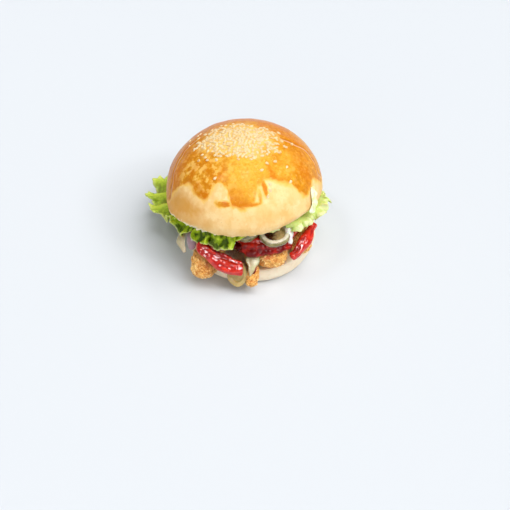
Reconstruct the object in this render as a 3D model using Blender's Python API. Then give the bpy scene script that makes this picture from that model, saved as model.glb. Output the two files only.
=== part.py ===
"""Chicken burger: a sesame bun filled with breaded chicken strips, tomato, pickles, onion and lettuce.

Metres, +Z up. The origin is the middle of the heel's flat underside, and the open mouth of the
burger, where the filling shows, faces -Y. Every piece of food is one closed solid of its own.
"""

import math

import bmesh
import bpy
from mathutils import Euler, Vector, noise

MM = 0.001
TURN = 2 * math.pi

# ---- driving dimensions -------------------------------------------------------------------------
HEEL_RADIUS = 51 * MM  # widest line of the lower half
HEEL_HEIGHT = 15 * MM  # up to its cut face
HEEL_FOOT_RADIUS = 44 * MM  # flat spot that it rests on
HEEL_CENTRE = Vector((1.8, -2.3, 0)) * MM

CROWN_RADIUS = 60 * MM  # widest line of the upper half
CROWN_DOME = 50.5 * MM  # height above the widest line
CROWN_SKIRT = 10.5 * MM  # depth below the widest line, down to the cut
CROWN_CUT_RADIUS = 53 * MM
CROWN_CENTRE = Vector((-3.5, 0, 54.6)) * MM  # middle of the widest line
CROWN_TILT = math.radians(-17)  # the mouth gapes: front edge up
CROWN_ROLL = math.radians(-3.6)  # right edge up

STRIP_BED = HEEL_HEIGHT + 0.5 * MM  # underside of the chicken
TOMATO_THICKNESS = 5.5 * MM
PICKLE_THICKNESS = 3.8 * MM
LEAF_THICKNESS = 1.0 * MM
LEAF_GAP = 0.9 * MM  # between the crown's cut face and the middle of the leaf


# ---- small tools --------------------------------------------------------------------------------
def clear_scene():
    for obj in list(bpy.data.objects):
        bpy.data.objects.remove(obj)


def material(name, colour, roughness):
    made = bpy.data.materials.new(name)
    made.use_nodes = True
    shader = made.node_tree.nodes["Principled BSDF"]
    shader.inputs["Base Color"].default_value = (*colour, 1)
    shader.inputs["Roughness"].default_value = roughness
    shader.inputs["Metallic"].default_value = 0
    return made


def add_object(name, mesh, finish, location=(0, 0, 0), rotation=(0, 0, 0)):
    mesh.materials.append(finish)
    mesh.shade_smooth()
    obj = bpy.data.objects.new(name, mesh)
    obj.location = location
    obj.rotation_euler = rotation
    bpy.context.scene.collection.objects.link(obj)
    return obj


def skin(name, rings):
    """One closed mesh over a run of rings; a ring of a single point is a pole."""
    shape = bmesh.new()
    rows = [[shape.verts.new(point) for point in ring] for ring in rings]
    for low, high in zip(rows, rows[1:]):
        count = max(len(low), len(high))
        for i in range(count):
            j = (i + 1) % count
            corners = [low[i % len(low)], low[j % len(low)], high[j % len(high)], high[i % len(high)]]
            shape.faces.new(list(dict.fromkeys(corners)))
    bmesh.ops.recalc_face_normals(shape, faces=shape.faces)
    mesh = bpy.data.meshes.new(name)
    shape.to_mesh(mesh)
    shape.free()
    return mesh


def turned(profile, segments, shaped):
    """Rings of a turned profile of (radius, height); shaped(radius, height, angle) gives the point."""
    rings = []
    for radius, height in profile:
        count = segments if radius > 0 else 1
        rings.append([shaped(radius, height, TURN * i / count) for i in range(count)])
    return rings


def polar(radius, angle, height):
    return Vector((radius * math.cos(angle), radius * math.sin(angle), height))


def between(table, at):
    """Smooth value at a place in a table of (place, value) pairs, eased between neighbours."""
    if at <= table[0][0]:
        return table[0][1]
    for (a, low), (b, high) in zip(table, table[1:]):
        if at <= b:
            share = (at - a) / (b - a)
            return low + (high - low) * share * share * (3 - 2 * share)
    return table[-1][1]


def window(angle, middle, half_width):
    """1 at the middle angle, easing to 0 half_width away from it, all in degrees."""
    away = abs((math.degrees(angle) - middle + 180) % 360 - 180) / half_width
    return 0.0 if away >= 1 else (1 - away * away) ** 2


def along(points, share):
    """Point at a share of the way along a smooth curve through the points (Catmull-Rom)."""
    spans = len(points) - 1
    span = min(int(share * spans), spans - 1)
    t = share * spans - span
    first, second = points[span], points[span + 1]
    before = points[span - 1] if span else first * 2 - second
    after = points[span + 2] if span + 2 <= spans else second * 2 - first
    return 0.5 * (
        2 * first
        + (second - before) * t
        + (2 * before - 5 * first + 4 * second - after) * t * t
        + (3 * first - before - 3 * second + after) * t**3
    )


# ---- bun ----------------------------------------------------------------------------------------
def bun_heel(finish):
    """Lower half: flat foot, rounded crust, rough cut face that the filling has pressed a little."""
    bulge = HEEL_RADIUS - HEEL_FOOT_RADIUS
    side = [
        (HEEL_FOOT_RADIUS + bulge * math.sin(t), HEEL_HEIGHT * 0.45 * (1 - math.cos(t)))
        for t in (math.radians(d) for d in (0, 30, 60, 90))
    ]
    lip = [(HEEL_RADIUS - 0.6 * MM, HEEL_HEIGHT * 0.72), (HEEL_RADIUS - 2.4 * MM, HEEL_HEIGHT * 0.95)]
    top = [(HEEL_RADIUS * f, HEEL_HEIGHT) for f in (0.9, 0.62, 0.3)]
    profile = [(0, 0), (HEEL_RADIUS * 0.45, 0), *side, *lip, *top, (0, HEEL_HEIGHT)]

    def shaped(radius, height, angle):
        uneven = 1 + 0.010 * math.sin(2 * angle + 0.8) + 0.006 * math.sin(5 * angle)
        lift = 0.5 * MM * math.sin(3 * angle + 1) * radius / HEEL_RADIUS if height > HEEL_HEIGHT / 3 else 0
        return polar(radius * uneven, angle, height + min(lift, 0))

    return add_object("bun_heel", skin("bun_heel", turned(profile, 36, shaped)), finish, HEEL_CENTRE)


def crown_profile():
    """Superellipse dome over a tucked-in skirt and a slightly hollow cut face."""
    dome = []
    for degrees in (0, 10, 19, 28, 37, 46, 55, 64, 73, 82, 90):
        t = math.radians(degrees)
        dome.append((CROWN_RADIUS * math.sin(t), CROWN_DOME * math.cos(t)))
    tuck = CROWN_RADIUS - CROWN_CUT_RADIUS
    skirt = []
    for degrees in (25, 50, 75, 90):
        t = math.radians(degrees)
        skirt.append((CROWN_RADIUS - tuck * (1 - math.cos(t)), -CROWN_SKIRT * math.sin(t)))
    cut = [(CROWN_CUT_RADIUS * 0.6, -CROWN_SKIRT), (CROWN_CUT_RADIUS * 0.25, -CROWN_SKIRT)]
    return [*dome, *skirt, *cut, (0, -CROWN_SKIRT)]


def bun_crown(finish):
    """Upper half: a tall dome, a little lopsided, with a pinched corner low on the left. Its rim
    lifts where the filling pushes it up, at the front left and at the front right."""

    def shaped(radius, height, angle):
        side = 1 - abs(height) / CROWN_DOME
        uneven = 1 + side * (0.008 * math.sin(2 * angle - 0.4) + 0.006 * math.sin(3 * angle + 1.2))
        corner = window(angle, 212, 34)
        low = max(0.0, 1 - abs(height + 6 * MM) / (14 * MM))
        reach = radius * uneven + 2.2 * MM * corner * low * (radius > CROWN_CUT_RADIUS * 0.9)
        lifted = (4.0 * window(angle, 222, 42) + 4.2 * window(angle, 322, 38)) * MM
        lifted *= min(1.0, max(0.0, -height / CROWN_SKIRT)) * (radius / CROWN_RADIUS) ** 3
        return polar(reach, angle, height + lifted)

    rings = turned(crown_profile(), 42, shaped)
    return add_object(
        "bun_crown", skin("bun_crown", rings), finish, CROWN_CENTRE, (CROWN_TILT, CROWN_ROLL, 0)
    )


def under_crown(x, y):
    """Height of the crown's cut face over a point of the table."""
    turned_by = Euler((CROWN_TILT, CROWN_ROLL, 0)).to_matrix()
    up = turned_by @ Vector((0, 0, 1))
    on_face = CROWN_CENTRE - up * CROWN_SKIRT
    return on_face.z - (up.x * (x - on_face.x) + up.y * (y - on_face.y)) / up.z


# ---- chicken ------------------------------------------------------------------------------------
def chicken_strip(name, route, half_widths, half_heights, seed, finish):
    """Breaded strip: a lumpy round-ended bar along its route, front end last."""
    segments, steps = 12, 12
    rings = []
    points = [Vector(p) * MM for p in route]
    length = sum((b - a).length for a, b in zip(points, points[1:]))
    for step in range(steps + 1):
        share = 0.5 - 0.5 * math.cos(math.pi * step / steps)
        middle = along(points, share)
        ahead = (along(points, min(share + 0.02, 1)) - along(points, max(share - 0.02, 0))).normalized()
        across = ahead.cross(Vector((0, 0, 1))).normalized()
        upward = across.cross(ahead)
        half_width = between(half_widths, share) * MM
        half_height = between(half_heights, share) * MM
        roundness = min(1.0, min(share, 1 - share) * length / half_width)
        swell = math.sqrt(max(0.0, 1 - (1 - roundness) ** 2))
        if step in (0, steps):
            rings.append([middle])
            continue
        ring = []
        for i in range(segments):
            angle = TURN * i / segments
            c, s = math.cos(angle), math.sin(angle)
            fat = (abs(c) ** 2.3 + abs(s) ** 2.3) ** (-1 / 2.3)
            place = middle + across * (half_width * swell * fat * c) + upward * (half_height * swell * fat * s)
            lump = noise.noise(place / (9 * MM) + Vector((seed * 7.3, 0, 0)))
            ring.append(place + (across * c + upward * s) * (0.9 * MM * lump * swell))
        rings.append(ring)
    for ring in rings:
        for point in ring:
            past = math.hypot(point.x - HEEL_CENTRE.x, point.y - HEEL_CENTRE.y) - HEEL_RADIUS - 0.3 * MM
            point.z = max(point.z, STRIP_BED - 1.6 * max(0.0, past), 0.6 * MM)
    return add_object(name, skin(name, rings), finish)


# ---- tomato and pickles -------------------------------------------------------------------------
def slice_profile(radius, thickness, core=0.0, recess=0.0):
    """Round-edged slice from its top middle to its bottom middle, with a sunken core if asked."""
    edge = thickness / 2
    inner = [(core * 0.9, edge - recess), (core, edge)] if core else [(radius * 0.55, edge)]
    rim = []
    for degrees in (75, 30, -30, -75):
        t = math.radians(degrees)
        rim.append((radius - edge * 0.7 * (1 - math.cos(t)), edge * math.sin(t)))
    top = [(0, inner[0][1]), *inner]
    bottom = [(r, -z) for r, z in reversed(top)]
    return [*top, *rim, *bottom]


def tomato_slice(name, centre, radius, rotation, seed, finish):
    """Whole slice of a ribbed tomato, lying on the chicken."""

    def shaped(r, z, angle):
        lobes = 1 + 0.030 * math.cos(6 * angle + seed) + 0.015 * math.sin(3 * angle + 2 * seed)
        ripple = 0.3 * MM * math.sin(5 * angle + seed) * (r / radius) ** 2
        return polar(r * lobes, angle, z + ripple)

    rings = turned(slice_profile(radius, TOMATO_THICKNESS), 36, shaped)
    return add_object(name, skin(name, rings), finish, Vector(centre) * MM, rotation)


def pickle_slice(name, centre, radius, squash, core, rotation, seed, finish):
    """Gherkin slice: firm rim of flesh, the seed core shrunk back from both faces."""

    def shaped(r, z, angle):
        outline = 1 + 0.03 * math.sin(2 * angle + seed) + 0.02 * math.sin(5 * angle + seed)
        point = polar(r * outline, angle, z)
        point.x *= squash
        return point

    profile = slice_profile(radius, PICKLE_THICKNESS, radius * core, 1.2 * MM)
    return add_object(
        name, skin(name, turned(profile, 24, shaped)), finish, Vector(centre) * MM, rotation
    )


# ---- pieces that hang over the edge ---------------------------------------------------------------
def hanging_piece(name, route, widths, leans, thickness, cupping, lobes, finish):
    """Flat round-edged piece along its route, cupped across. Tables along its length give its width
    and how far its face leans outwards. Lobes are the waves of a ribbed tomato's skin along its
    outer edge: how many and how deep."""
    steps, across_steps = 12, 4
    points = [Vector(p) * MM for p in route]
    length = sum((b - a).length for a, b in zip(points, points[1:]))
    rings = []
    for step in range(1, steps):
        share = 0.5 - 0.5 * math.cos(math.pi * step / steps)
        middle = along(points, share)
        ahead = (along(points, min(share + 0.02, 1)) - along(points, max(share - 0.02, 0))).normalized()
        outward = Vector((middle.x, middle.y, 0)).normalized() * between(leans, share)
        outward += Vector((0, 0, 1))
        across = ahead.cross(outward).normalized()
        normal = across.cross(ahead).normalized()
        if normal.z < 0:
            across, normal = -across, -normal
        half = between(widths, share) * MM / 2
        ripple = lobes[1] * MM * math.cos(TURN * lobes[0] * share)
        roundness = min(1.0, min(share, 1 - share) * length / max(half, thickness * MM))
        swell = math.sqrt(1 - (1 - roundness) ** 2)
        top, bottom = [], []
        for i in range(across_steps + 1):
            u = math.sin(math.pi / 2 * (2 * i / across_steps - 1))
            bow = cupping * MM * (1 - u * u)
            thick = thickness * MM / 2 * swell * math.sqrt(1 - 0.8 * u * u)
            spot = middle + across * ((half + ripple * (u > 0)) * swell * u) + normal * bow
            top.append(spot + normal * thick)
            bottom.append(spot - normal * thick)
        rings.append(top + bottom[::-1])
    rings.insert(0, [points[0]])
    rings.append([points[-1]])
    return add_object(name, skin(name, rings), finish)


# ---- lettuce ------------------------------------------------------------------------------------
def lettuce_leaf(name, free, bend, lip, ruffle, span, seed, finish):
    """Frilly leaf pressed under the crown. The tables give, by compass angle in degrees, the free
    length past the lip, how steeply that hangs (or, below zero, stands up), and how far out the
    lip is."""
    columns, rows = 64, 7
    start, end = span
    inner = 4 * MM
    curl = 6 * MM
    sheet = bmesh.new()
    grid = []
    for column in range(columns + 1):
        degrees = start + (end - start) * column / columns
        angle = math.radians(degrees)
        edge = between(lip, degrees) * MM
        tail = between(free, degrees) * MM
        slope = math.radians(between(bend, degrees))
        sink = -1 if slope < 0 else 1
        phase = 17 * angle + 1.1 * math.sin(3 * angle + seed) + seed
        tooth = 1 + 0.06 * math.sin(1.7 * phase + 1)
        side_fade = max(0.0, min(1.0, (degrees - start) / 8, (end - degrees) / 8))
        line = []
        for row in range(rows + 1):
            share = (row / rows) ** 0.7
            whole = inner + (edge - inner + tail * tooth) * share
            past = max(0.0, whole - edge)
            turn = min(past / curl, abs(slope))
            straight = past - turn * curl
            reach = curl * math.sin(turn) + straight * math.cos(turn)
            drop = sink * (curl * (1 - math.cos(turn)) + straight * math.sin(turn))
            loose = min(1.1, (past / (15 * MM)) ** 1.2) * side_fade
            wave = math.sin(phase) + 0.35 * math.sin(2.1 * phase + 2)
            swing = ruffle * MM * loose * wave
            sideways = 0.5 * ruffle * MM * loose * math.cos(phase + 0.6)
            spot = polar(min(whole, edge) + reach + swing * math.sin(turn * sink), angle, 0)
            spot += Vector((-math.sin(angle), math.cos(angle), 0)) * sideways
            rim = polar(min(whole, edge), angle, 0)
            spot.z = under_crown(rim.x, rim.y) - LEAF_GAP - drop + swing * math.cos(turn)
            spot.z -= 0.25 * MM * (1 + math.sin(9 * angle + 6 * share)) * min(1.0, share * 2)
            line.append(sheet.verts.new(spot))
        grid.append(line)
    for left, right in zip(grid, grid[1:]):
        for row in range(rows):
            sheet.faces.new((left[row], left[row + 1], right[row + 1], right[row]))
    mesh = bpy.data.meshes.new(name)
    sheet.to_mesh(mesh)
    sheet.free()
    leaf = add_object(name, mesh, finish)
    wall = leaf.modifiers.new("leaf thickness", "SOLIDIFY")
    wall.thickness = LEAF_THICKNESS
    wall.offset = 0
    return leaf


# ---- the whole burger ---------------------------------------------------------------------------
def build():
    clear_scene()
    crust = material("bun crust", (0.86, 0.47, 0.15), 0.4)
    crumb = material("bun crumb", (0.93, 0.74, 0.46), 0.8)
    breading = material("chicken breading", (0.85, 0.42, 0.10), 0.7)
    tomato = material("tomato", (0.75, 0.06, 0.03), 0.2)
    pickle = material("pickle", (0.42, 0.43, 0.17), 0.3)
    onion = material("red onion", (0.45, 0.22, 0.30), 0.35)
    cabbage = material("white cabbage", (0.75, 0.74, 0.55), 0.4)
    leaf = material("lettuce", (0.42, 0.62, 0.10), 0.45)

    bun_heel(crumb)
    bun_crown(crust)

    chicken_strip(
        "chicken_strip_left",
        [(-16, 36, 22), (-18, 8, 24.5), (-25, -22, 24.5), (-38, -57, 16)],
        [(0, 8), (0.5, 10), (1, 10.5)],
        [(0, 6.3), (0.4, 9), (0.8, 10), (1, 10)],
        1,
        breading,
    )
    chicken_strip(
        "chicken_strip_centre",
        [(11, 40, 22), (13, 10, 24), (15.5, -18, 25), (17.5, -54, 26)],
        [(0, 7.5), (0.5, 9.3), (0.75, 11.5), (1, 14.5)],
        [(0, 6.2), (0.4, 8.6), (0.8, 10.2), (1, 10.8)],
        2,
        breading,
    )
    chicken_strip(
        "chicken_strip_right",
        [(33, 30, 22.5), (38, 8, 24), (40.5, -12, 24.5), (39.5, -38, 23.5)],
        [(0, 6.5), (0.5, 8.3), (1, 8.3)],
        [(0, 6.5), (0.5, 8.8), (1, 9)],
        3,
        breading,
    )
    chicken_strip(
        "chicken_strip_front",
        [(-4, 0, 20.5), (-2.5, -22, 20.5), (0.5, -42, 20.5), (2.8, -53, 18), (1.5, -61.5, 9.5)],
        [(0, 4), (0.5, 3.8), (1, 4.5)],
        [(0, 4.5), (0.5, 5), (1, 5.5)],
        4,
        breading,
    )
    tomato_slice(
        "tomato_slice_middle", (11, -22.5, 38.2), 26.5 * MM, (math.radians(-4.5), 0, 0), 2.1, tomato
    )
    hanging_piece(
        "tomato_slice_left",
        [(-26, -24, 39.5), (-32, -36, 39.5), (-34.3, -45.5, 38.8), (-30.5, -50.8, 36),
         (-21, -55, 31.5), (-12, -58.2, 28), (-4.3, -57.5, 27)],
        [(0, 8), (0.33, 10.5), (0.5, 9.5), (0.67, 12.5), (0.83, 12.5), (1, 11)],
        [(0, 0.2), (0.33, 0.4), (0.5, 0.6), (0.67, 0.9), (1, 1.1)],
        4.6,
        0.4,
        (3, 0.4),
        tomato,
    )
    hanging_piece(
        "tomato_slice_right",
        [(48.9, -25, 40), (47.9, -30, 39.7), (44.9, -35.6, 38.5), (41.4, -40.9, 36),
         (37.3, -45.5, 31.5), (31.5, -48.6, 28.7)],
        [(0, 5.5), (0.2, 6.2), (0.4, 8.4), (0.6, 9.2), (0.8, 8.3), (1, 6.5)],
        [(0, 0.1), (1, 0.6)],
        5,
        0.9,
        (2, 0.9),
        tomato,
    )
    pickle_slice(
        "pickle_slice_right", (19.8, -40, 45.4), 12 * MM, 1.0, 0.66, (-0.07, 0, 0.4), 0.3, pickle
    )
    pickle_slice(
        "pickle_slice_middle", (-1.8, -37, 45.4), 9.4 * MM, 1.0, 0.56, (-0.07, 0, 1.9), 1.4, pickle
    )
    pickle_slice(
        "pickle_slice_front", (-9.6, -56.0, 17.2), 10.4 * MM, 0.70, 0.56,
        (math.radians(60), 0, -0.22), 2.2, pickle
    )
    hanging_piece(
        "pickle_sliver",
        [(2.8, -47, 31.5), (3.2, -52, 29), (2.4, -56.5, 25.5), (1, -60.2, 20.5)],
        [(0, 12), (0.35, 11), (0.7, 5.5), (1, 2)],
        [(0, 0.8)],
        2.2,
        0.5,
        (0, 0),
        pickle,
    )
    hanging_piece(
        "onion_petal",
        [(-29, -10, 38), (-37.5, -22, 40.5), (-43.5, -34, 39), (-43, -42, 30)],
        [(0, 6), (0.5, 9.5), (0.8, 9), (1, 5)],
        [(0, 0.83)],
        2.2,
        1.4,
        (0, 0),
        onion,
    )
    hanging_piece(
        "cabbage_shred",
        [(-36, -8, 34), (-44.5, -20, 35.5), (-51, -31, 35), (-51, -38.5, 31.5), (-48.3, -43, 28)],
        [(0, 5), (0.6, 7.5), (0.85, 5), (1, 1.5)],
        [(0, 0.83)],
        1.6,
        0.8,
        (0, 0),
        cabbage,
    )
    lettuce_leaf(
        "lettuce_leaf_left",
        [(95, 8), (130, 10), (140, 17), (147, 32), (155, 38), (161, 34), (167, 37), (175, 31),
         (183, 28), (189, 20), (195, 14), (203, 15), (212, 16), (220, 10), (229, 15), (238, 12),
         (246, 16), (255, 15), (260, 11), (267, 7), (277, 3)],
        [(95, 20), (150, 17), (185, 24), (205, 32), (225, 50), (277, 66)],
        [(95, 50), (245, 50), (256, 47), (268, 42), (277, 41)],
        2.6,
        (95, 274),
        0.4,
        leaf,
    )
    lettuce_leaf(
        "lettuce_leaf_right",
        [(-84, 1), (-77, 3), (-71, 7), (-65, 6), (-60, 1), (-56, 1), (-50, 7.5), (-42, 8.5),
         (-34, 8), (-28, 7), (-20, 8.5), (-14, 6), (-8, 7.5), (-2, 5), (6, 6.5), (12, 8), (26, 8),
         (38, 7), (90, 7)],
        [(-84, 40), (-60, 60), (-38, 60), (-28, 30), (-20, 15), (-14, -30), (-4, -30), (8, 10),
         (90, 20)],
        [(-84, 38), (-60, 40), (-48, 50), (-30, 52), (-20, 54.5), (-4, 54.5), (8, 52), (90, 50)],
        1.8,
        (-84, 91),
        2.0,
        leaf,
    )


build()
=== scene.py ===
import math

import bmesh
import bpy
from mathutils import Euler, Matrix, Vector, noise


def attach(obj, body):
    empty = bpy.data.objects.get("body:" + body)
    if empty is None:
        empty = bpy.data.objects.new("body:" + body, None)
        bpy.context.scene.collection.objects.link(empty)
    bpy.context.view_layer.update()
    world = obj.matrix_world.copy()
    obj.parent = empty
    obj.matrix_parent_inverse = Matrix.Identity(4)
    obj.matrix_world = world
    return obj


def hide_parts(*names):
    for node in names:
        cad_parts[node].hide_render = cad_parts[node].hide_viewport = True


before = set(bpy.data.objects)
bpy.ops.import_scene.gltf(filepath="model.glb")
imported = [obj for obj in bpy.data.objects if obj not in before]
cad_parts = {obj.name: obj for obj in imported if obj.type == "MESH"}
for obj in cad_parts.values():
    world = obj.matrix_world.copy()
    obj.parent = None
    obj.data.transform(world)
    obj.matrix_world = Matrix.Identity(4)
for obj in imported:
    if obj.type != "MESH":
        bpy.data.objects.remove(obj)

# %% [markdown]
# # A chicken burger, looks included
#
# The frame that was just loaded holds the burger's plain solids. Each step below takes one of its
# foods, says what it is like on a real plate, and builds a finer piece that stands in its place:
# bread first, then the fried chicken, the wet slices, the leaves and the sauces.
# All lengths are in millimetres while a shape is worked out, and `MM` turns them into metres.

MM = 0.001
TURN = 2 * math.pi
noise.seed_set(1)  # some noise starts from the clock unless it is given a seed
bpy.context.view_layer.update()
print("plain solids:", sorted(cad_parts))

# %% [markdown]
# ## Table, light and camera
#
# Food is usually lit by a big window with a white sheet under the plate: the shade is soft and
# short, and nearly everything is bright. A very soft sun from the right is the window. A weak, wide
# one stands low in front of the burger, like a white card that throws light back under the bun.
# Both are hidden from reflections, because mirrored in wet tomato they would lie over the red as
# a grey veil. The bright streaks on wet food come from two small suns that only reflections can
# see, so the shine can be made stronger without burning out the bread. Four faint suns add glints.
# The table is a plain pale sheet, so that only the burger has colour.
# The camera looks down by fifty degrees, as a person does who is about to pick the burger up.

# %% Table
TABLE_HALF = 3  # metres
table = bpy.data.objects.new("table", bpy.data.meshes.new("table"))
table.data.from_pydata([(x, y, 0) for x, y in ((-TABLE_HALF, -TABLE_HALF), (TABLE_HALF, -TABLE_HALF),
                                               (TABLE_HALF, TABLE_HALF), (-TABLE_HALF, TABLE_HALF))],
                       [], [(0, 1, 2, 3)])
bpy.context.scene.collection.objects.link(table)
paper = bpy.data.materials.new("pale_paper")
paper.use_nodes = True
paper_shader = paper.node_tree.nodes["Principled BSDF"]
paper_shader.inputs["Base Color"].default_value = (0.655, 0.695, 0.745, 1)
paper_shader.inputs["Roughness"].default_value = 0.7
table.data.materials.append(paper)
print("table", 2 * TABLE_HALF, "m across")

# %% Light
WARM_SKY, SKY_STRENGTH = (1.0, 0.98, 0.95, 1), 0.28
sky = bpy.data.worlds.new("sky")
bpy.context.scene.world = sky
sky.use_nodes = True
sky.node_tree.nodes["Background"].inputs["Color"].default_value = WARM_SKY
sky.node_tree.nodes["Background"].inputs["Strength"].default_value = SKY_STRENGTH


def shine(name, compass, height, strength, softness, colour):
    """A sun that comes from a compass angle and a height above the table, all in degrees."""
    lamp = bpy.data.lights.new(name, "SUN")
    lamp.energy = strength
    lamp.angle = math.radians(softness)
    lamp.color = colour
    holder = bpy.data.objects.new(name, lamp)
    away = Vector((math.cos(math.radians(compass)) * math.cos(math.radians(height)),
                   math.sin(math.radians(compass)) * math.cos(math.radians(height)),
                   math.sin(math.radians(height))))
    holder.rotation_euler = away.to_track_quat("Z", "Y").to_euler()
    bpy.context.scene.collection.objects.link(holder)
    return holder


shine("window", -22, 62, 2.55, 44, (1.0, 0.99, 0.98)).visible_glossy = False
shine("card", -108, 15, 0.50, 60, (1.0, 0.97, 0.92)).visible_glossy = False
shine("gloss_right", -62, 46, 1.3, 18, (1.0, 1.0, 1.0)).visible_diffuse = False
shine("gloss_left", -122, 38, 1.3, 16, (1.0, 1.0, 1.0)).visible_diffuse = False
GLINTS = ((-29, 42, 0.30, 9), (-100, 83, 0.35, 13), (-173, 66, 0.35, 11), (60, 58, 0.15, 8))
for number, (compass, height, strength, softness) in enumerate(GLINTS):
    shine(f"glint_{number}", compass, height, strength, softness, (1.0, 0.99, 0.97))
bpy.context.scene.view_settings.view_transform = "Standard"
print("suns:", [lamp.name for lamp in bpy.data.lights])

# %% Camera
EYE, LOOK_DOWN = Vector((4.75, -512.5, 584.2)), 50  # mm and degrees
lens = bpy.data.cameras.new("camera")
lens.sensor_width = 36
lens.lens = 67.5
lens.clip_start = 0.01
camera = bpy.data.objects.new("camera", lens)
camera.location = EYE * MM
camera.rotation_euler = (math.radians(90 - LOOK_DOWN), 0, 0)
bpy.context.scene.collection.objects.link(camera)
bpy.context.scene.camera = camera
print("camera", round(EYE.length), "mm away")

# %% [markdown]
# ## Paint as arithmetic
#
# A material is a net of small nodes, which is hard to read when it is written out link by link.
# A thin wrapper around a socket lets the paint be written as sums instead: `1 - mask * 0.5` adds
# its Math nodes by itself. Colours are blended with Mix nodes, because a Math node greys them.


# %% The wrapper
class Tone:
    """A number, vector or colour on its way through a material."""

    def __init__(self, socket):
        self.socket = socket

    def node(self, kind, settings, inputs, output=0):
        """Any node in the same net: its settings first, then what its sockets hold or take."""
        made = self.socket.id_data.nodes.new(kind)
        for key, value in settings.items():
            setattr(made, key, value)
        for key, value in inputs.items():
            if isinstance(value, Tone):
                self.socket.id_data.links.new(value.socket, made.inputs[key])
            else:
                made.inputs[key].default_value = value
        return Tone(made.outputs[output])

    def maths(self, operation, *others):
        return self.node("ShaderNodeMath", {"operation": operation}, dict(enumerate((self, *others))))

    def __add__(self, other):
        return self.maths("ADD", other)

    def __mul__(self, other):
        return self.maths("MULTIPLY", other)

    def __sub__(self, other):
        return self.maths("SUBTRACT", other)

    def __rsub__(self, other):
        return self.node("ShaderNodeMath", {"operation": "SUBTRACT"}, {0: other, 1: self})

    __radd__, __rmul__ = __add__, __mul__

    def step(self, low, high):
        """0 below low, 1 above high, smooth between; low may be the larger one."""
        return self.node("ShaderNodeMapRange", {"interpolation_type": "SMOOTHSTEP"},
                         {0: self, 1: low, 2: high, 3: 0.0, 4: 1.0})

    def blend(self, first, second):
        """The first colour where this is 0, the second where it is 1."""
        first, second = [c if isinstance(c, Tone) else (*c, 1) for c in (first, second)]
        return self.node("ShaderNodeMix", {"data_type": "RGBA"}, {0: self, 6: first, 7: second}, 2)

    def axis(self, number):
        """One of these coordinates: 0 for x, 1 for y, 2 for z."""
        return self.node("ShaderNodeSeparateXYZ", {}, {0: self}, number)

    def distance(self, x, y, z):
        """How far these coordinates are from a place given in mm."""
        return self.node("ShaderNodeVectorMath", {"operation": "DISTANCE"},
                         {0: self, 1: (x * MM, y * MM, z * MM)}, 1)

    def spread(self, per_mm, stretch=(1, 1, 1)):
        """These coordinates with a pattern size set: how many repeats there are in a millimetre."""
        return self.node("ShaderNodeMapping", {},
                         {0: self, 3: tuple(1000 * per_mm * s for s in stretch)})

    def cloud(self, per_mm, detail=3.0, rough=0.55, stretch=(1, 1, 1)):
        """Soft noise from 0 to 1, mostly near a half."""
        return self.node("ShaderNodeTexNoise", {},
                         {"Vector": self.spread(per_mm, stretch), "Scale": 1.0,
                          "Detail": detail, "Roughness": rough})

    def cells(self, per_mm, stretch=(1, 1, 1)):
        """0 at scattered points, rising away from them."""
        return self.node("ShaderNodeTexVoronoi", {},
                         {"Vector": self.spread(per_mm, stretch), "Scale": 1.0})


def paint(name, recipe, **fixed):
    """A material. recipe(place) is given the piece's coordinates and returns what varies, by socket
    name, with "Bump" as (height, depth in mm); fixed holds the numbers that do not vary."""
    made = bpy.data.materials.new(name)
    made.use_nodes = True
    tree = made.node_tree
    shader = tree.nodes["Principled BSDF"]
    place = Tone(tree.nodes.new("ShaderNodeTexCoord").outputs["Object"])
    for key, value in fixed.items():
        shader.inputs[key.replace("_", " ")].default_value = value
    for key, value in recipe(place).items():
        if key == "Bump":
            key, value = "Normal", place.node("ShaderNodeBump", {},
                                              {"Height": value[0], "Distance": value[1] * MM,
                                               "Strength": 1.0})
        tree.links.new(value.socket, shader.inputs[key])
    return made


def marked(place, name):
    """A value that was written on the piece's points."""
    return place.node("ShaderNodeAttribute", {"attribute_name": name}, {}, 2)


# %% [markdown]
# ## Shapes from rings
#
# Bread, slices and strips are all a run of rings: round a post for a bun, along a route for a
# strip. One helper closes such rings into a skin. Others read the tables that shape a piece along
# its length or round the compass, and one runs modifiers and keeps the plain mesh that comes out.
# The numbers that place a piece are close to those of the plain solids, and the rings are finer.


# %% Helpers for meshes
def skin(name, rings):
    """One closed mesh over a run of rings; a ring of a single point is a pole."""
    shape = bmesh.new()
    rows = [[shape.verts.new(point) for point in ring] for ring in rings]
    for low, high in zip(rows, rows[1:]):
        count = max(len(low), len(high))
        for i in range(count):
            j = (i + 1) % count
            corners = [low[i % len(low)], low[j % len(low)], high[j % len(high)], high[i % len(high)]]
            shape.faces.new(list(dict.fromkeys(corners)))
    bmesh.ops.recalc_face_normals(shape, faces=shape.faces)
    mesh = bpy.data.meshes.new(name)
    shape.to_mesh(mesh)
    shape.free()
    return mesh


def serve(name, mesh, finish, slot, *nodes, smooth=True):
    """Put a finished piece on the plate: its finish, what it stands for and what it rides on."""
    mesh.materials.clear()
    mesh.materials.append(finish)
    if smooth:
        mesh.shade_smooth()
    piece = bpy.data.objects.new(name, mesh)
    bpy.context.scene.collection.objects.link(piece)
    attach(piece, "root")
    if nodes:
        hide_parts(*nodes)
    triangles = sum(len(face.vertices) - 2 for face in mesh.polygons)
    print(f"{name}: {len(mesh.vertices)} points, {triangles} triangles")


def write(mesh, name, values):
    """Write one number on each point of a mesh, for the paint or a scatter to read."""
    mesh.attributes.new(name, "FLOAT", "POINT").data.foreach_set("value", values)


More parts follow.
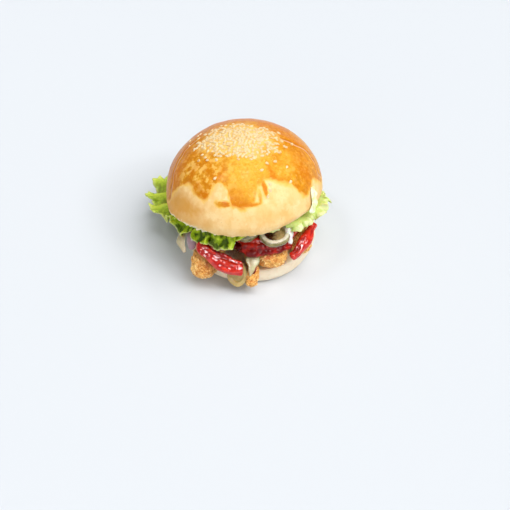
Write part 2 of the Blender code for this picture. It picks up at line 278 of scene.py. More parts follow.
def worked(name, mesh, *steps):
    """The mesh that comes out of some modifiers, each given as its kind and its settings."""
    holder = bpy.data.objects.new(name + "_raw", mesh)
    bpy.context.scene.collection.objects.link(holder)
    for kind, settings in steps:
        change = holder.modifiers.new(kind.lower(), kind)
        for key, value in settings.items():
            setattr(change, key, value)
    done = bpy.data.meshes.new_from_object(holder.evaluated_get(bpy.context.evaluated_depsgraph_get()))
    bpy.data.objects.remove(holder)
    done.name = name
    return done


# %% Helpers for places and tables
def polar(radius, angle, height):
    """A point at a distance and an angle round the upright axis."""
    return Vector((radius * math.cos(angle), radius * math.sin(angle), height))


def between(table, at):
    """Value at a place in a table of (place, value) pairs, eased between neighbours."""
    if at <= table[0][0]:
        return table[0][1]
    for (a, low), (b, high) in zip(table, table[1:]):
        if at <= b:
            share = (at - a) / (b - a)
            return low + (high - low) * share * share * (3 - 2 * share)
    return table[-1][1]


def window(angle, middle, half_width):
    """1 at the middle angle, easing to 0 half_width away from it, in degrees."""
    away = abs((angle - middle + 180) % 360 - 180) / half_width
    return 0.0 if away >= 1 else (1 - away * away) ** 2


def along(points, share):
    """Point at a share of the way along a smooth curve through the points (Catmull-Rom)."""
    spans = len(points) - 1
    span = min(int(share * spans), spans - 1)
    t = share * spans - span
    first, second = points[span], points[span + 1]
    before = points[span - 1] if span else first * 2 - second
    after = points[span + 2] if span + 2 <= spans else second * 2 - first
    return 0.5 * (2 * first + (second - before) * t
                  + (2 * before - 5 * first + 4 * second - after) * t * t
                  + (3 * first - before - 3 * second + after) * t**3)


def lumps(point, size, seed=0.0, octaves=3):
    """Soft noise from about -1 to 1 with lumps of the size in mm."""
    return noise.fractal(point / (size * MM) + Vector((seed * 7.3, seed, 0)), 1.0, 2.0, octaves)


# %% [markdown]
# ## The crown of the bun
#
# The top half is a tall dome that leans back, so the burger gapes. The baker brushed egg over it:
# where the wash lies thick it bakes glossy orange, it ran down in tongues and stopped, and below
# them the crust stays pale and dull. The dome could be sculpted, but it is almost a ball on a
# turned profile, so rings with a little dough unevenness give it. Two creases run down its sides,
# where the skin of the dough folded as it rose, and the rim is torn where the knife went through.

# %% Shape of the crown
CROWN_RADIUS, CROWN_DOME, CROWN_SKIRT, CROWN_CUT_RADIUS = 60, 50.5, 10.5, 53
CROWN_CENTRE = Vector((-3.5, 0, 54.6))
CROWN_AROUND = 360  # points in a ring
CREASES = ([(0, -157), (9, -154), (20, -156), (30, -163), (40, -168), (47, -174), (60, -179)],
           [(5, -2), (17, -9), (27, -5), (37, -3), (49, -9), (60, -14)])  # latitude, compass
crown_lean = Euler((math.radians(-17), math.radians(-3.6), 0)).to_matrix()


def crown_ring_places():
    """Radius, height and latitude of each ring, from the top round the skirt to the cut face."""
    places = [(CROWN_RADIUS * math.sin(t), CROWN_DOME * math.cos(t), 90 - math.degrees(t))
              for t in (math.pi / 2 * i / 112 for i in range(113))]
    tuck = CROWN_RADIUS - CROWN_CUT_RADIUS
    places += [(CROWN_RADIUS - tuck * (1 - math.cos(t)), -CROWN_SKIRT * math.sin(t), -math.degrees(t) / 4)
               for t in (math.pi / 2 * i / 22 for i in range(1, 23))]
    places += [(CROWN_CUT_RADIUS * (1 - i / 24), -CROWN_SKIRT, -30) for i in range(1, 25)]
    return places


def crease_at(latitude, compass):
    """How far a place is from the nearer crease, across it in mm; positive towards the front."""
    nearest = 99.0
    for crease in CREASES:
        if crease[0][0] <= latitude <= crease[-1][0]:
            turn = (compass - between(crease, latitude) + 180) % 360 - 180
            away = math.radians(turn) * CROWN_RADIUS * math.cos(math.radians(latitude))
            away *= 1 if crease is CREASES[0] else -1
            nearest = min((nearest, away), key=abs)
    return nearest


def crown_point(radius, height, angle, latitude):
    """A point of the crown before it leans: the true dome, then dough, creases and the torn rim. The
    front left corner bulges and is torn most, and the rim is lifted where the filling shows."""
    compass = math.degrees(angle)
    side = 1 - abs(height) / CROWN_DOME
    uneven = 1 + side * (0.008 * math.sin(2 * angle - 0.4) + 0.006 * math.sin(3 * angle + 1.2))
    low = max(0.0, 1 - abs(height + 6) / 14) * (radius > CROWN_CUT_RADIUS * 0.9)
    corner = 2.2 * window(compass, 212, 34) * low
    at = polar(radius * uneven + corner, angle, height)
    dough = 0.45 * lumps(at * MM, 24, 1) + 0.10 * lumps(at * MM, 6, 2)
    away = crease_at(latitude, compass)
    fold = -0.45 * math.exp(-((away + 1.2) / 1.6) ** 2) + 0.30 * math.exp(-((away - 1.4) / 1.8) ** 2)
    edge = max(0.0, 1 - abs(height + CROWN_SKIRT) / (3.2 + 5 * window(compass, 218, 50)))
    edge *= radius > CROWN_CUT_RADIUS * 0.8
    torn = 0.7 + 1.3 * window(compass, 225, 62)
    ragged = edge * torn * (1.1 * lumps(at * MM, 4.5, 3) + 1.1 * lumps(at * MM, 1.8, 12, 2))
    raised = 4.0 * window(compass, 222, 42) + 4.2 * window(compass, 322, 38)
    at.z += raised * min(1.0, -height / CROWN_SKIRT) * (radius / CROWN_RADIUS) ** 3 if height < 0 else 0
    if height <= -CROWN_SKIRT + 0.01:
        at.z += 0.25 * abs(lumps(at * MM, 3, 4)) + (0.5 if radius < CROWN_CUT_RADIUS * 0.97 else 0)
        return at
    wrinkled = window(compass, 215, 40) * max(0.0, 1 - abs(height + 2) / 9)
    wrinkles = wrinkled * 0.16 * lumps(Vector((at.x, at.y, at.z * 2.2)) * MM, 3, 13, 2)
    out = Vector((at.x / CROWN_RADIUS**2, at.y / CROWN_RADIUS**2, at.z / CROWN_DOME**2)).normalized()
    return at + out * (dough + fold + ragged + wrinkles)


crown_rings, crown_latitude, crown_compass = [], [], []
for radius, height, latitude in crown_ring_places():
    count = CROWN_AROUND if radius > 0.01 else 1
    ring = []
    for i in range(count):
        angle = TURN * i / count
        ring.append((CROWN_CENTRE + crown_lean @ crown_point(radius, height, angle, latitude)) * MM)
        crown_latitude.append(latitude)
        crown_compass.append((math.degrees(angle) + 180) % 360 - 180)
    crown_rings.append(ring)
crown_mesh = skin("bun_crown_baked", crown_rings)
print("crown points", len(crown_mesh.vertices))


# %% [markdown]
# ### Egg wash
#
# The wash is written on the crown's points as numbers, because it follows the brush and gravity and
# not a pattern. `wash` says how much egg lies there: its lower edge is a height for each compass
# angle, with tongues between pale gaps. `deep` marks the pools and runs that baked dark, `light`
# the places where the brush left little egg, and on the front of the top also a painted highlight.
# `mottled` marks those where the brush left blots, and `toast` the browned patches on the bare
# skirt. `fold` follows the creases, with a painted highlight on one side of each and painted shade
# on the other, and `torn` the crumb that shows at the rim. `seeding` is how thickly the sesame
# fell, a broad patch in front of the top; under it the crust is painted paler, partly for thinner
# wash and partly as a painted highlight.

# %% Where the wash ran and the seeds fell
# compass and the latitude down to which the egg ran
WASH_EDGE = [(-180, 3), (-158, 3), (-154, 9), (-152, 15), (-147, 20), (-142, 26), (-136, 30), (-133, 29),
             (-126, 24), (-118, 21), (-115, 24), (-113, 30), (-108, 35), (-101, 33), (-98, 26), (-96, 18),
             (-90, 16), (-84, 18), (-80, 20), (-78, 26), (-75, 33), (-72, 33), (-69, 35), (-63, 34),
             (-54, 30), (-47, 27), (-45, 22), (-41, 15), (-35, 10), (-30, 14), (-24, 18), (-18, 15),
             (-8, 6), (30, 9), (60, 16), (90, 10), (120, 16), (150, 7), (180, 3)]
# compass, latitude, half width and half height in mm, strength
DRIPS = [(-103, 20, 5, 2.6, 1), (-83, 19, 8, 1.8, 0.8), (-75, 25, 1.4, 5, 0.9), (-70, 30, 1.6, 6, 1)]
POOLS = [(-127, 28, 5, 4, 0.7), (-119, 24, 6, 4, 0.9), (-94, 19, 6.5, 4, 1), (-93, 27, 7, 6, 0.5),
         (-102, 20, 4, 2.5, 0.6), (-83, 19, 7, 1.6, 0.9), (-60, 39, 2.0, 8, 0.9), (-70, 31, 1.8, 6, 0.9),
         (-28, 28, 6, 11, 0.8), (-15, 40, 9, 9, 0.45), (2, 50, 10, 12, 0.7), (-107, 45, 2.2, 9, 0.5),
         (-155, 34, 5, 16, 0.75), (-172, 30, 16, 24, 0.7), (-137, 39, 2.5, 8, 0.5),
         (-124, 47, 3, 5, 0.4), (-43, 20, 5, 4, 0.5), (90, 66, 34, 11, 1), (30, 60, 14, 10, 0.9),
         (150, 60, 16, 12, 0.8), (-150, 26, 4, 6, 0.6)]
# Thin wash; the big marks on the front of the top are also a painted highlight.
THIN = [(-85, 50, 17, 14, 1), (-84, 36, 14, 10, 0.8), (-128, 37, 6, 5, 0.5), (-36, 43, 9, 7, 0.45),
        (-52, 39, 8, 6, 0.55), (-83, 72, 34, 18, 0.8), (-80, 26, 3, 4, 0.9)]
TOAST = [(-137, 11, 15, 8, 1), (-150, 4, 8, 8, 0.9), (-128, 2, 16, 6, 0.6), (-70, 6, 14, 5, 0.25),
         (180, 0, 46, 12, 0.9), (160, 0, 60, 9, 0.5), (80, 0, 50, 8, 0.4)]
MOTTLED = [(-132, 42, 20, 17, 1), (-152, 34, 9, 16, 0.7), (-104, 34, 9, 9, 0.5), (-30, 34, 14, 10, 0.35)]
SEED_PATCH = (-1, -12.5, 32, 21)  # middle and half sizes on the crown, in mm


def splashes(places, latitude, compass, warp):
    """The strongest of some soft oval marks at a place on the crown."""
    best = 0.0
    for middle, height, wide, tall, strength in places:
        turn = (compass - middle + 180) % 360 - 180
        across = math.radians(turn) * CROWN_RADIUS * math.cos(math.radians(latitude)) / wide
        down = (latitude - height) * 0.96 / tall
        far = math.hypot(across, down) + warp
        best = max(best, strength * max(0.0, min(1.0, 1.6 - far)))
    return best


wash_values, deep_values, light_values, toast_values = [], [], [], []
mottle_values, fold_values, torn_values, seed_values = [], [], [], []
crown_back = crown_lean.inverted()
for vertex, latitude, compass in zip(crown_mesh.vertices, crown_latitude, crown_compass):
    at = crown_back @ (vertex.co / MM - CROWN_CENTRE)
    broad, fine = lumps(at * MM, 8, 5), lumps(at * MM, 2.4, 6)
    above = latitude + 2.2 * broad + 1.3 * fine - between(WASH_EDGE, compass)
    wash = max(0.0, min(1.0, 0.5 + above / (7 + 4 * broad)))
    wash = max(wash, splashes(DRIPS, latitude, compass, 0.35 * fine))
    wash_values.append(wash)
    rim = 0.55 * math.exp(-((above - 2.0) / 2.2) ** 2) * max(0.0, min(1.0, 0.5 + 1.4 * broad))
    deep_values.append(max(rim, splashes(POOLS, latitude, compass, 0.45 * fine + 0.3 * broad)))
    light_values.append(splashes(THIN, latitude, compass, 0.25 * fine + 0.3 * broad))
    toast_values.append(splashes(TOAST, latitude, compass, 0.3 * broad + 0.2 * fine))
    mottle_values.append(splashes(MOTTLED, latitude, compass, 0.3 * broad))
    # Painted highlight on one side of each crease and painted shade on the other.
    away = crease_at(latitude, compass)
    fold_values.append(math.exp(-((away - 1.0) / 0.9) ** 2) - math.exp(-((away + 1.3) / 1.3) ** 2))
    pulled = 12 * window(compass, 218, 46)
    torn_values.append(max(0.0, min(1.0, (-17 + pulled - latitude + 5 * fine) / 4)))
    across = (at.x - SEED_PATCH[0]) / SEED_PATCH[2]
    down = (at.y - SEED_PATCH[1]) / SEED_PATCH[3]
    far = math.hypot(across, down) + 0.20 * lumps(at * MM, 9, 7)
    seed_values.append(max(0.01 if far < 1.4 else 0.0, min(1.0, (1.10 - far) * 2.2)) if at.z > 0 else 0.0)
for mark, values in (("wash", wash_values), ("deep", deep_values), ("light", light_values),
                     ("toast", toast_values), ("mottled", mottle_values), ("fold", fold_values),
                     ("torn", torn_values), ("seeding", seed_values)):
    write(crown_mesh, mark, values)
print("washed share", round(sum(wash_values) / len(wash_values), 2))


# %% Crust paint
def crust_recipe(place):
    """Pale bare dough, gold washed crust over it, then the marks that were written on the points."""
    wash, deep, light = marked(place, "wash"), marked(place, "deep"), marked(place, "light")
    toast, seeded = marked(place, "toast"), marked(place, "seeding")
    fold, mottled = marked(place, "fold"), marked(place, "mottled")
    mottle = place.cloud(0.30, 4, 0.62).step(0.38, 0.62)
    blots = place.cloud(0.24, 2, 0.5)
    patches = place.cloud(0.10, 3, 0.5).step(0.35, 0.65)
    streaks = place.cloud(0.16, 4, 0.6, (1, 1, 0.45)).step(0.42, 0.68)
    pale = place.cloud(0.07, 4).step(0.3, 0.7).blend((0.91, 0.61, 0.25), (0.96, 0.70, 0.35))
    pale = (streaks * 0.5).blend(pale, (0.82, 0.47, 0.145))
    pale = (place.cloud(0.13, 3, 0.5).step(0.55, 0.70) * 0.5).blend(pale, (0.97, 0.76, 0.42))
    pale = (place.cloud(0.45, 4, 0.7).step(0.48, 0.72) * 0.35).blend(pale, (0.80, 0.46, 0.15))
    pale = (toast * 0.85).blend(pale, (0.75, 0.345, 0.055))
    gold = patches.blend((0.76, 0.355, 0.022), (0.74, 0.285, 0.010))
    gold = (mottle * (0.75 - light * 0.55)).blend(gold, (0.56, 0.185, 0.006))
    # Paler where the wash is thin; on the front of the top this is also a painted highlight.
    gold = (light * 0.75).blend(gold, (0.88, 0.525, 0.075))
    runs = place.cloud(0.34, 3, 0.55, (1, 1, 0.22)).step(0.50, 0.62)
    gold = (light * runs * 0.55).blend(gold, (0.76, 0.36, 0.02))
    gold = (place.cloud(0.55, 4, 0.65).step(0.47, 0.64) * 0.40).blend(gold, (0.60, 0.215, 0.006))
    gold = (place.cloud(0.42, 3, 0.6, (1, 1, 0.5)).step(0.55, 0.67) * 0.35).blend(gold, (0.93, 0.62, 0.17))
    gold = (mottled * blots.step(0.50, 0.60) * 0.8).blend(gold, (0.95, 0.60, 0.15))
    gold = (mottled * blots.step(0.49, 0.40) * 0.9).blend(gold, (0.60, 0.20, 0.006))
    gold = (deep * (0.60 + mottle * 0.4)).blend(gold, (0.66, 0.185, 0.003))
    # Paler under the sesame: partly thinner wash, partly a painted highlight.
    gold = (seeded.step(0.2, 1.0) * 0.65).blend(gold, (0.93, 0.68, 0.26))
    # Along the creases: painted shade on one side, a painted highlight on the other.
    gold = (fold.step(-0.15, -0.9) * 0.55).blend(gold, (0.48, 0.14, 0.012))
    gold = (fold.step(0.15, 0.9) * 0.60).blend(gold, (0.95, 0.64, 0.42))
    halo = wash.step(0.05, 0.5).blend(pale, (0.92, 0.56, 0.13))
    colour = wash.step(0.35, 0.9).blend(halo, gold)
    colour = (marked(place, "torn") * 0.95).blend(colour, (0.97, 0.88, 0.66))
    specks = place.cells(0.22).step(0.07, 0.03) * place.cloud(0.05, 1).step(0.55, 0.6)
    colour = (specks * 0.5).blend(colour, (0.25, 0.10, 0.03))
    pores = place.cloud(0.9, 4, 0.6) * 0.6 + place.cloud(3.0, 2, 0.5) * 0.25
    return {"Base Color": colour, "Roughness": 0.52 - wash * 0.20,
            "Coat Weight": wash * (0.18 + mottle * 0.20), "Bump": (pores + blots * mottled, 0.3)}


crust = paint("baked_crust", crust_recipe, Coat_Roughness=0.15, Coat_IOR=1.35, Specular_IOR_Level=0.04,
              Subsurface_Weight=0.08, Subsurface_Scale=0.004)
serve("bun_crown_baked", crown_mesh, crust, "bun_crust", "bun_crown")

# %% [markdown]
# ### Sesame seeds
#
# A sesame seed is a flat drop about three millimetres long. Hundreds lie on the crown, each turned
# its own way and half sunk in the wash. Geometry Nodes scatters one drop over the crown: a
# Poisson spread keeps the seeds from lying inside each other, the `seeding` number thins the
# edge of the patch, and Realize Instances turns the crowd into one plain mesh at the end.


# %% One seed
def sesame_seed():
    """A flat drop lying on its side: 3.1 long, 1.9 wide, 1 thick, point towards +X, in mm."""
    rings = [[Vector((-1.5, 0, 0.1)) * MM]]
    for i in range(1, 7):
        t = math.pi * i / 7
        girth = 1.05 * math.sin(t) * (1 + 0.30 * math.cos(t)) * (0.88 if i > 4 else 1)
        ring = [(-1.5 * math.cos(t), girth * math.cos(a), 0.1 + 0.5 * girth * math.sin(a))
                for a in (TURN * k / 8 for k in range(8))]
        rings.append([Vector(point) * MM for point in ring])
    rings.append([Vector((1.65, 0, 0.1)) * MM])
    return skin("seed", rings)


# %% A scatter tree that any topping can use
def scatter_tree(name, grain, finish, spacing, density, mark, size, seed, lie=0.25):
    """Grains spread over a piece, standing on it, each with its own turn, tilt and size."""
    tree = bpy.data.node_groups.new(name, "GeometryNodeTree")
    face = tree.interface
    face.new_socket("Geometry", in_out="INPUT", socket_type="NodeSocketGeometry")
    sockets = {}
    for label, value in (("Spacing", spacing), ("Density", density), ("Smallest", size[0]),
                         ("Largest", size[1])):
        socket = face.new_socket(label, in_out="INPUT", socket_type="NodeSocketFloat")
        socket.default_value = value
        sockets[label] = socket.identifier
    face.new_socket("Geometry", in_out="OUTPUT", socket_type="NodeSocketGeometry")
    new, link = tree.nodes.new, tree.links.new
    start, end = new("NodeGroupInput"), new("NodeGroupOutput")
    many = new("GeometryNodeDistributePointsOnFaces")
    many.distribute_method = "POISSON"
    many.inputs["Seed"].default_value = seed
    link(start.outputs["Geometry"], many.inputs["Mesh"])
    link(start.outputs["Spacing"], many.inputs["Distance Min"])
    link(start.outputs["Density"], many.inputs["Density Max"])
    if mark:
        thick = new("GeometryNodeInputNamedAttribute")
        thick.data_type = "FLOAT"
        thick.inputs["Name"].default_value = mark
        link(thick.outputs["Attribute"], many.inputs["Density Factor"])
    one = new("GeometryNodeObjectInfo")
    one.inputs["Object"].default_value = grain
    put = new("GeometryNodeInstanceOnPoints")
    link(many.outputs["Points"], put.inputs["Points"])
    link(one.outputs["Geometry"], put.inputs["Instance"])
    link(many.outputs["Rotation"], put.inputs["Rotation"])
    growth = new("FunctionNodeRandomValue")
    growth.data_type = "FLOAT"
    growth.inputs["Seed"].default_value = seed + 1
    link(start.outputs["Smallest"], growth.inputs[2])
    link(start.outputs["Largest"], growth.inputs[3])
    link(growth.outputs[1], put.inputs["Scale"])
    spin = new("FunctionNodeRandomValue")
    spin.data_type = "FLOAT_VECTOR"
    spin.inputs["Seed"].default_value = seed + 2
    spin.inputs[0].default_value = (-lie, -lie, 0)
    spin.inputs[1].default_value = (lie, lie, TURN)
    turn = new("GeometryNodeRotateInstances")
    link(put.outputs["Instances"], turn.inputs["Instances"])
    link(spin.outputs[0], turn.inputs["Rotation"])
    real, coat = new("GeometryNodeRealizeInstances"), new("GeometryNodeSetMaterial")
    coat.inputs["Material"].default_value = finish
    link(turn.outputs["Instances"], real.inputs["Geometry"])
    link(real.outputs["Geometry"], coat.inputs["Geometry"])
    link(coat.outputs["Geometry"], end.inputs["Geometry"])
    return tree, sockets


def scatter(name, ground, grain_mesh, finish, spacing, density, mark="", size=(0.85, 1.15), seed=1,
            lie=0.25):
    """Plain mesh of the grains that the tree puts on a ground mesh. Lengths in mm."""
    grain = bpy.data.objects.new(name + "_one", grain_mesh)
    carrier = bpy.data.objects.new(name + "_ground", ground)
    bpy.context.scene.collection.objects.link(grain)
    bpy.context.scene.collection.objects.link(carrier)
    tree, sockets = scatter_tree(name, grain, finish, spacing * MM, density * 1e6, mark, size, seed, lie)
    spread = carrier.modifiers.new("scatter", "NODES")
    spread.node_group = tree
    spread[sockets["Spacing"]] = spacing * MM
    done = carrier.evaluated_get(bpy.context.evaluated_depsgraph_get())
    mesh = bpy.data.meshes.new_from_object(done)
    mesh.name = name
    carrier.modifiers.remove(spread)
    bpy.data.objects.remove(carrier)
    bpy.data.objects.remove(grain)
    return mesh


# %% Sesame on the crown
def sesame_recipe(place):
    toast = place.cloud(0.25, 2).step(0.45, 0.75)
    return {"Base Color": (toast * 0.8).blend((0.85, 0.67, 0.38), (0.74, 0.43, 0.14))}


sesame_finish = paint("sesame", sesame_recipe, Roughness=0.45, Coat_Weight=0.3, Coat_Roughness=0.3)
SEED_SPACING, SEEDS_PER_MM2 = 1.75, 0.46
sesame_mesh = scatter("sesame_seeds", crown_mesh, sesame_seed(), sesame_finish, SEED_SPACING,
                      SEEDS_PER_MM2, "seeding", seed=4)
STRAYS = [(-68, 44), (-65, 32), (-66, 27), (-69, 23), (-47, 28), (-12, 50), (-24, 52), (171, 57),
          (171, 49), (-158, 58), (-60, 48), (-112, 39)]  # compass, latitude


def add_strays(mesh, places):
    """Seeds that rolled off the patch, each lying flat on the crown's skin."""
    shape = bmesh.new()
    shape.from_mesh(mesh)
    normals = [n.vector.copy() for n in crown_mesh.vertex_normals]
    for number, (compass, latitude) in enumerate(places):
        spot = min(range(len(crown_latitude)), key=lambda i: abs(crown_latitude[i] - latitude) * 2
                   + abs((crown_compass[i] - compass + 180) % 360 - 180))
        lie = normals[spot].to_track_quat("Z", "Y").to_matrix() @ Euler((0, 0, 2.4 * number)).to_matrix()
        seed = sesame_seed()
        seed.transform(Matrix.Translation(crown_mesh.vertices[spot].co) @ lie.to_4x4())
        shape.from_mesh(seed)
    shape.to_mesh(mesh)
    shape.free()


add_strays(sesame_mesh, STRAYS)
serve("sesame_seeds", sesame_mesh, sesame_finish, "bun_crust")

# %% [markdown]
# ## The heel of the bun
#
# The lower half is a flat disc of the same dough. Its side is baked crust, pale because nothing
# was brushed on it, and its top is the knife's cut, with the open holes of bread crumb. It is
# turned like the crown. The holes are pushed into the cut face with noise, and the fine ones are bump.

# %% Heel
HEEL_RADIUS, HEEL_HEIGHT, HEEL_FOOT_RADIUS = 51, 15, 44
HEEL_CENTRE = Vector((1.8, -2.3, 0))
HEEL_AROUND = 220  # points in a ring


def heel_places():
    """Radius and height of each ring: foot, round side, shoulder, and the cut face to its middle."""
    bulge = HEEL_RADIUS - HEEL_FOOT_RADIUS
    places = [(HEEL_FOOT_RADIUS * i / 12, 0) for i in range(13)]
    places += [(HEEL_FOOT_RADIUS + bulge * math.sin(t), HEEL_HEIGHT * 0.45 * (1 - math.cos(t)))
               for t in (math.pi / 2 * i / 14 for i in range(1, 15))]
    for i in range(1, 13):
        t = math.pi / 2 * i / 12
        places.append((HEEL_RADIUS - 2.6 * (1 - math.cos(t)), HEEL_HEIGHT * (0.45 + 0.53 * math.sin(t))))
    places += [((HEEL_RADIUS - 2.6) * (1 - i / 40), HEEL_HEIGHT) for i in range(1, 41)]
    return places


heel_rings, heel_cut = [], []
for radius, height in heel_places():
    count = HEEL_AROUND if radius > 0.01 else 1
    ring = []
    for i in range(count):
        angle = TURN * i / count
        uneven = 1 + 0.010 * math.sin(2 * angle + 0.8) + 0.006 * math.sin(5 * angle)
        at = polar(radius * uneven, angle, height)
        cut = 1.0 if height >= HEEL_HEIGHT else 0.0
        if cut:
            at.z -= 0.35 + 0.35 * abs(lumps(at * MM, 2.2, 8)) + 0.25 * lumps(at * MM, 9, 9)
        elif height > 0:
            out = Vector((at.x, at.y, 0)).normalized()
            at += out * (0.35 * lumps(at * MM, 15, 10) + 0.10 * lumps(at * MM, 3, 11))
        ring.append((HEEL_CENTRE + at) * MM)
        heel_cut.append(cut)
    heel_rings.append(ring)
heel_mesh = skin("bun_heel_baked", heel_rings)
write(heel_mesh, "cut", heel_cut)


def bread_recipe(place):
    """Bare pale crust, darker and browner towards the bottom, and crumb on the cut face."""
    cut = marked(place, "cut")
    crust = place.cloud(0.05, 3).step(0.3, 0.7).blend((0.88, 0.75, 0.54), (0.92, 0.82, 0.63))
    # Darker and browner towards the bottom, within 4.5 mm of the table.
    crust = (place.axis(2).step(0.0045, 0.0) * 0.6).blend(crust, (0.66, 0.44, 0.22))
    crust = (place.cloud(0.25, 4, 0.6).step(0.5, 0.7) * 0.35).blend(crust, (0.80, 0.60, 0.36))
    crumb = place.cells(0.5).step(0.1, 0.5).blend((0.86, 0.68, 0.43), (0.93, 0.82, 0.62))
    pores = place.cells(0.45) * cut + place.cloud(1.2, 4) * 0.5
    return {"Base Color": cut.blend(crust, crumb), "Bump": (pores, 0.35)}


bread = paint("pale_bread", bread_recipe, Roughness=0.75, Subsurface_Weight=0.1, Subsurface_Scale=0.004)
serve("bun_heel_baked", heel_mesh, bread, "bun_crumb", "bun_heel")

# %% [markdown]
# ## Fried chicken
#
# Each strip is a long lump in a craggy coat: flour and crumb that set in the hot oil as scales and
# knobs. The coat is painted paler on the tips and darker in the cracks, as painted light and shade.
# Sculpting would be slow and smooth, so the strip is swept along its route and pushed out by three
# sizes of noise, then hundreds of broken crumbs are scattered over it with the same tree as the sesame.


# %% Craggy strips
def chicken_mesh(name, route, half_widths, half_heights, seed):
    """A swept, round-ended strip with a craggy coat; the same places as in the plain solids."""
    points = [Vector(p) * MM for p in route]
    length = sum((b - a).length for a, b in zip(points, points[1:]))
    segments, steps = 100, int(length / MM / 0.75)
    rings, crack = [], []
    for step in range(steps + 1):
        share = 0.5 - 0.5 * math.cos(math.pi * step / steps)
        middle = along(points, share)
        ahead = (along(points, min(share + 0.02, 1)) - along(points, max(share - 0.02, 0))).normalized()
        across = ahead.cross(Vector((0, 0, 1))).normalized()
        upward = across.cross(ahead)
        wide, tall = between(half_widths, share) * MM, between(half_heights, share) * MM
        swell = math.sqrt(1 - (1 - min(1.0, min(share, 1 - share) * length / wide)) ** 2)
        ring = []
        for i in range(segments if 0 < step < steps else 1):
            angle = TURN * i / segments
            c, s = math.cos(angle), math.sin(angle)
            fat = (abs(c) ** 2.3 + abs(s) ** 2.3) ** (-1 / 2.3)
            at = middle + across * (wide * swell * fat * c) + upward * (tall * swell * fat * s)
            out = (across * c + upward * s) if 0 < step < steps else ahead * (1 if step else -1)
            knobs = lumps(at, 4.2, seed, 3)
            flakes = 1 - 2 * min(1.0, noise.voronoi(at / (2.6 * MM))[0][0])
            scales = 1 - 2 * min(1.0, noise.voronoi(at / (1.3 * MM))[0][0])
            rough = 0.8 * lumps(at, 9, seed, 2) * swell + 0.70 * knobs + 0.45 * flakes + 0.28 * scales
            ring.append(at + out * (rough * MM))
            crack.append(max(0.0, min(1.0, 0.45 + 0.30 * flakes + 0.40 * knobs + 0.25 * scales)))
        rings.append(ring)
    for ring in rings:  # the coat rests on the heel and on the table, and does not pass into them
        for point in ring:
            out = math.hypot(point.x / MM - HEEL_CENTRE.x, point.y / MM - HEEL_CENTRE.y)
            past = out - HEEL_RADIUS - 0.3
            point.z = max(point.z, (HEEL_HEIGHT + 0.1 - 1.6 * max(0.0, past)) * MM, 0.4 * MM)
    mesh = skin(name, rings)
    write(mesh, "tip", crack)
    return mesh


def breading_recipe(place):
    """Painted shade in the cracks and painted light on the tips, with one place that was dipped in the red
    sauce.
    """
    tip = marked(place, "tip") + (place.cloud(0.35, 3) - 0.5) * 0.7
    fry = place.cloud(0.10, 2).step(0.35, 0.68)
    # A shaded and a lit copy of the fried colour; the coat below blends them by how far a point stands
    # out: painted shade in the cracks, painted light on the tips.
    dark = fry.blend((0.68, 0.27, 0.035), (0.54, 0.16, 0.012))
    light = fry.blend((0.98, 0.62, 0.19), (0.95, 0.50, 0.10))
    grain = place.cloud(1.6, 4, 0.7) + place.cells(0.9) * 0.6
    coat = tip.step(0.15, 0.75).blend(dark, light)
    dip = place.distance(14, -49, 37) + (place.cloud(0.3, 3) - 0.5) * 0.010
    coat = (dip.step(0.0085, 0.0060) * 0.7).blend(coat, (0.66, 0.10, 0.015))
    return {"Base Color": coat, "Roughness": 0.62 - tip.step(0.3, 0.9) * 0.15, "Bump": (grain, 0.45)}


def crumb_recipe(place):
    fry = place.cloud(0.10, 2).step(0.35, 0.68)
    each = place.cloud(0.8, 2).step(0.35, 0.65)
    dark = fry.blend((0.80, 0.36, 0.05), (0.68, 0.24, 0.02))
    light = fry.blend((1.0, 0.78, 0.38), (0.98, 0.64, 0.20))
    return {"Base Color": each.blend(dark, light), "Bump": (place.cloud(2.0, 2), 0.2)}


breading = paint("fried_breading", breading_recipe, Subsurface_Weight=0.06, Subsurface_Scale=0.003)
crumb_finish = paint("fried_crumb", crumb_recipe, Roughness=0.5)


def crumb_mesh(seed):
    """A broken crumb about a millimetre across: a ball with its corners pushed in and out."""
    shape = bmesh.new()
    bmesh.ops.create_icosphere(shape, subdivisions=1, radius=0.60 * MM)
    for vert in shape.verts:
        vert.co *= 1 + 0.8 * noise.noise(vert.co / (0.45 * MM) + Vector((seed, 0, 0)))
        vert.co.z *= 0.7
    mesh = bpy.data.meshes.new("crumb")
    shape.to_mesh(mesh)
    shape.free()
    return mesh


CHICKEN = {
    "chicken_strip_left": ([(-16, 36, 22), (-18, 8, 24.5), (-25, -22, 24.5), (-38, -57, 16)],
                           [(0, 8), (0.5, 10), (1, 10.5)], [(0, 6.3), (0.4, 9), (0.8, 10), (1, 10)]),
    "chicken_strip_centre": ([(11, 40, 22), (13, 10, 24), (15.5, -18, 25), (17.5, -54, 26)],
                             [(0, 7.5), (0.5, 9.3), (0.75, 11.5), (1, 14.5)],
                             [(0, 6.2), (0.4, 8.6), (0.8, 10.2), (1, 10.8)]),
    "chicken_strip_right": ([(33, 30, 22.5), (38, 8, 24), (40.5, -12, 24.5), (39.5, -38, 23.5)],
                            [(0, 6.5), (0.5, 8.3), (1, 8.3)], [(0, 6.5), (0.5, 8.8), (1, 9)]),
    "chicken_strip_front": ([(-4, 0, 20.5), (-2, -22, 20.5), (1.5, -42, 21), (3, -53, 18),
                             (1.5, -61.5, 9.5)],
                            [(0, 4), (0.5, 4), (1, 4.5)], [(0, 4.5), (0.5, 5), (1, 5.5)]),
}  # route in mm, half widths and half heights along it
CRUMB_SPACING, CRUMBS_PER_MM2, CRUMB_SIZES = 0.8, 0.65, (0.4, 1.6)
for number, (node, (route, widths, heights)) in enumerate(CHICKEN.items(), 1):
    mesh = chicken_mesh(node + "_fried", route, widths, heights, number)
    crumbs = scatter(node + "_crumbs", mesh, crumb_mesh(number), crumb_finish, CRUMB_SPACING,
                     CRUMBS_PER_MM2, size=CRUMB_SIZES, seed=20 + number, lie=1.2)
    serve(node + "_fried", mesh, breading, "breading", node)
    serve(node + "_crumbs", crumbs, crumb_finish, "breading", smooth=False)
